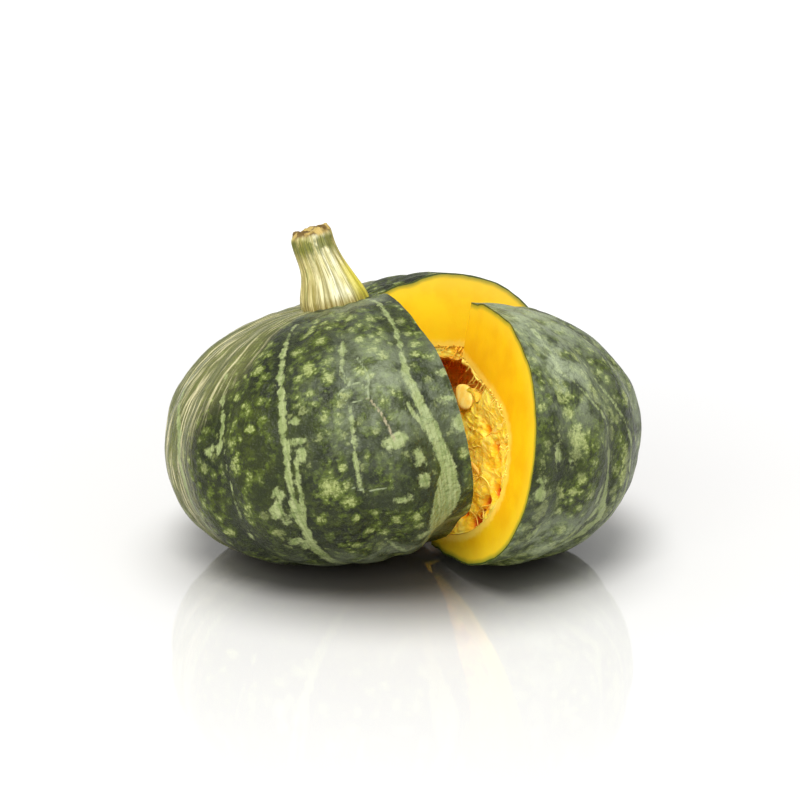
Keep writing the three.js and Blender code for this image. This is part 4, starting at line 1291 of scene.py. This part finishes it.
# ---- stem ----
def stem_points(share, azimuth):
    """The stem: a column with ridges and finer cords, flared at its foot, bent a little, with
    a rounded shoulder and a slanting rough end that is sunk in its middle. share runs from
    the root to the middle of the end. Also gives grooves, height share and share past the
    rim of the end."""
    wavy = STEM_RIDGES * azimuth + 0.6 * np.sin(2.0 * azimuth)
    slope, at, rough = STEM_CUT
    cut = STEM_HEIGHT + slope * np.cos(azimuth - math.radians(at)) + rough * np.sin(5.0 * azimuth)
    height = -STEM_ROOT + (cut + STEM_ROOT) * np.minimum(share / STEM_CAP, 1.0)
    up = np.maximum(height, 0.0)
    around = round_axis(11.0, azimuth, height * 0.1)
    twist = 0.9 * cloud(around, 5.0, 30)
    ridge = np.cos(wavy + twist)
    cords = np.cos(2.0 * wavy + 1.3 + 2.0 * twist + azimuth)
    flare = STEM_FLARE[0] * bell(up / STEM_FLARE[1])
    buttress = 1.0 + 0.1 * np.cos(azimuth) * np.exp(-up / 12.0)
    strength = 0.7 + 0.5 * cloud(around, 4.0, 34)
    ribbed = 1.0 + STEM_RIDGE_DEPTH * (0.75 * ridge + 0.3 * cords) * strength
    reach = (STEM_TOP_RADIUS + flare) * ribbed * buttress
    reach = reach + 0.3 * cloud(around, 2.2, 31) + 0.22 * cloud(around, 0.9, 32)
    shoulder = smooth(height, cut - STEM_SHOULDER[0], cut)
    reach = reach * (1.0 - STEM_SHOULDER[1] * shoulder ** 2)
    past = np.maximum(share - STEM_CAP, 0.0) / (1.0 - STEM_CAP)
    reach = np.where(share <= 0.0, 0.0, reach * (1.0 - past))
    level = np.where(share >= 1.0, STEM_HEIGHT, height + (STEM_HEIGHT - height) * smooth(past, 0.4, 1.0))
    end = round_axis(reach, azimuth, 0.0 * reach)
    torn = smooth(past, 0.0, 0.15) * (0.9 * cloud(end, 3.4, 33) + 0.5 * cloud(end, 1.3, 35))
    edge = cloud(around * np.array([1.0, 1.0, 0.0]), 2.0, 36)
    torn = torn + 0.5 * edge * smooth(share, 0.84, STEM_CAP)
    torn = np.where(share >= 1.0, 0.0, torn * (1.0 - smooth(past, 0.85, 1.0)))
    height = level - STEM_SUNK * past + torn
    points = round_axis(reach, azimuth, height)
    points[..., 0] += STEM_BEND * smooth(up, 12.0, 32.0)
    groove = 0.5 - 0.35 * ridge - 0.15 * cords
    return points + STEM_FOOT, groove, np.clip(height / (STEM_HEIGHT - 1.0), 0.0, 1.2), past


def stem(finishes):
    """The stem as one closed piece, its root run down into the squash's dip. A bell of azimuth
    gives the fresh flank and the pale side."""
    share = np.concatenate([[0.0], np.linspace(0.02, 0.9, 96), np.linspace(0.912, 1.0, 9)])
    share, azimuth = np.meshgrid(share, np.linspace(0.0, TURN, 145), indexing="ij")
    points, groove, up, past = stem_points(share, azimuth)
    points[:, -1] = points[:, 0]
    up = np.where(past > 0.0, 1.1, up)
    fresh = bell(turn_between(azimuth, math.radians(-16.0)) / 0.36) * smooth(0.66 - up, 0.0, 0.3)
    pale_side = bell(turn_between(azimuth, math.radians(-66.0)) / 0.62) * smooth(up, 0.0, 0.2)
    shape = Shape()
    shape.grid(points, 0, np.stack([azimuth / TURN, up], axis=-1), groove=groove, fresh=fresh,
               pale_side=pale_side)
    return shape.piece("stem_fine", body_place, finishes, sharp=60)


# ---- making the pieces ----
rind = rind_finish()
body_flesh = flesh_finish("golden_body_flesh", (254, 218, 24), (252, 206, 18))
# The wedge's flesh is the body's flesh painted darker: painted shade, as its cut faces get less of the
# light overhead.
shaded_wedge_flesh = flesh_finish("golden_wedge_flesh_painted_shade", (244, 198, 14), (238, 184, 8))
hollow_wall = hollow_finish()
wedge_pulp_coat = pulp_finish("stringy_golden_pulp", (222, 106, 14), (250, 176, 40),
                              (255, 200, 70), (255, 220, 62))
body_pulp_coat = pulp_finish("stringy_orange_pulp", (226, 92, 10), (252, 142, 24),
                             (255, 178, 60), (255, 206, 48))
pale_strands = strand_finish("moist_straw_fibre", (255, 236, 118), (255, 212, 58))
deep_strands = strand_finish("moist_amber_fibre", (255, 212, 62), (236, 108, 16))
seed_coat = seed_finish()

# The azimuths whose valleys have stripes in the tables.
BODY_COVERED = (-172.0, -62.0)
WEDGE_COVERED = (-60.0, -12.0)

# For each node of the solids: its slot, and the pieces that replace it.
MADE = {
    "squash_body": ("squash", [
        cut_squash("squash_body_fine", BODY_CHEEKS, False, body_place, BODY_COVERED,
                   (rind, body_flesh, hollow_wall)),
    ]),
    "squash_wedge": ("squash", [
        cut_squash("squash_wedge_fine", WEDGE_CHEEKS, True, wedge_place, WEDGE_COVERED,
                   (rind, shaded_wedge_flesh, hollow_wall)),
    ]),
    "body_pulp": ("pulp", [
        body_pulp_mass((body_pulp_coat,)), body_strands((deep_strands,)), body_seeds((seed_coat,)),
    ]),
    "wedge_pulp": ("pulp", [
        wedge_pulp_mass((wedge_pulp_coat,)), wedge_strands((pale_strands,)), wedge_seeds((seed_coat,)),
    ]),
    "stem": ("stem", [stem((stem_finish(),))]),
}
for node, (slot, pieces) in MADE.items():
    for piece in pieces:
        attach(piece, "root")
        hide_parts(node)

# ---- floor, light and camera ----
FLOOR_HALF = 12.0
ROOM_LIGHT = 0.56
SUN_STRENGTH = 2.65
SUN_SPREAD = math.radians(28.0)
SUN_TILT = (math.radians(28.0), math.radians(-6.0), 0.0)
SOFTBOX_AT = np.array([-0.5, -1.3, 0.75])
SOFTBOX_AIM = np.array([0.0, 0.0, 0.06])
SOFTBOX_SIZE = (1.0, 0.7)
SOFTBOX_WATTS = 7.0
CAMERA_AIM = np.array([-0.706, 0.59, 71.87]) * MM
CAMERA_DISTANCE = 0.8795
CAMERA_HEIGHT = math.radians(14.5367)
CAMERA_SENSOR = 36.0
CAMERA_LENS = 83.79


def table_top():
    """A flat square floor at the object's base."""
    corners = [(-1, -1), (1, -1), (1, 1), (-1, 1)]
    mesh = bpy.data.meshes.new("table_top")
    mesh.from_pydata([(x * FLOOR_HALF, y * FLOOR_HALF, 0.0) for x, y in corners], [], [(0, 1, 2, 3)])
    mesh.uv_layers.new(name="surface")
    mesh.materials.append(floor_finish())
    placed("table_top", mesh)


def room():
    """White surroundings of even light."""
    world = bpy.data.worlds.new("white_room")
    world.use_nodes = True
    sky = world.node_tree.nodes["Background"]
    sky.inputs["Color"].default_value = (1.0, 1.0, 1.0, 1.0)
    sky.inputs["Strength"].default_value = ROOM_LIGHT
    bpy.context.scene.world = world
    bpy.context.scene.view_settings.view_transform = "Standard"


def overhead_light():
    """A broad sun overhead, tilted to come a little from the front."""
    sun = bpy.data.lights.new("overhead_light", "SUN")
    sun.energy = SUN_STRENGTH
    sun.angle = SUN_SPREAD
    placed("overhead_light", sun).rotation_euler = SUN_TILT


def front_softbox():
    """A weak rectangular light in front on the left, aimed at the middle of the object."""
    light = bpy.data.lights.new("front_softbox", "AREA")
    light.shape = "RECTANGLE"
    light.size, light.size_y = SOFTBOX_SIZE
    light.energy = SOFTBOX_WATTS
    lamp = placed("front_softbox", light)
    lamp.location = SOFTBOX_AT
    x, y, z = SOFTBOX_AIM - SOFTBOX_AT
    lamp.rotation_euler = (math.atan2(math.hypot(x, y), -z), 0.0, math.atan2(y, x) - math.pi / 2)


def camera():
    """The camera looks along Y, a little down, at the middle of the object."""
    lens = bpy.data.cameras.new("camera")
    lens.sensor_width = CAMERA_SENSOR
    lens.lens = CAMERA_LENS
    lens.clip_start, lens.clip_end = 0.01, 50.0
    eye = placed("camera", lens)
    back = np.array([0.0, -math.cos(CAMERA_HEIGHT), math.sin(CAMERA_HEIGHT)])
    eye.location = CAMERA_AIM + CAMERA_DISTANCE * back
    eye.rotation_euler = (math.pi / 2 - CAMERA_HEIGHT, 0.0, 0.0)
    bpy.context.scene.camera = eye


table_top()
room()
overhead_light()
front_softbox()
camera()
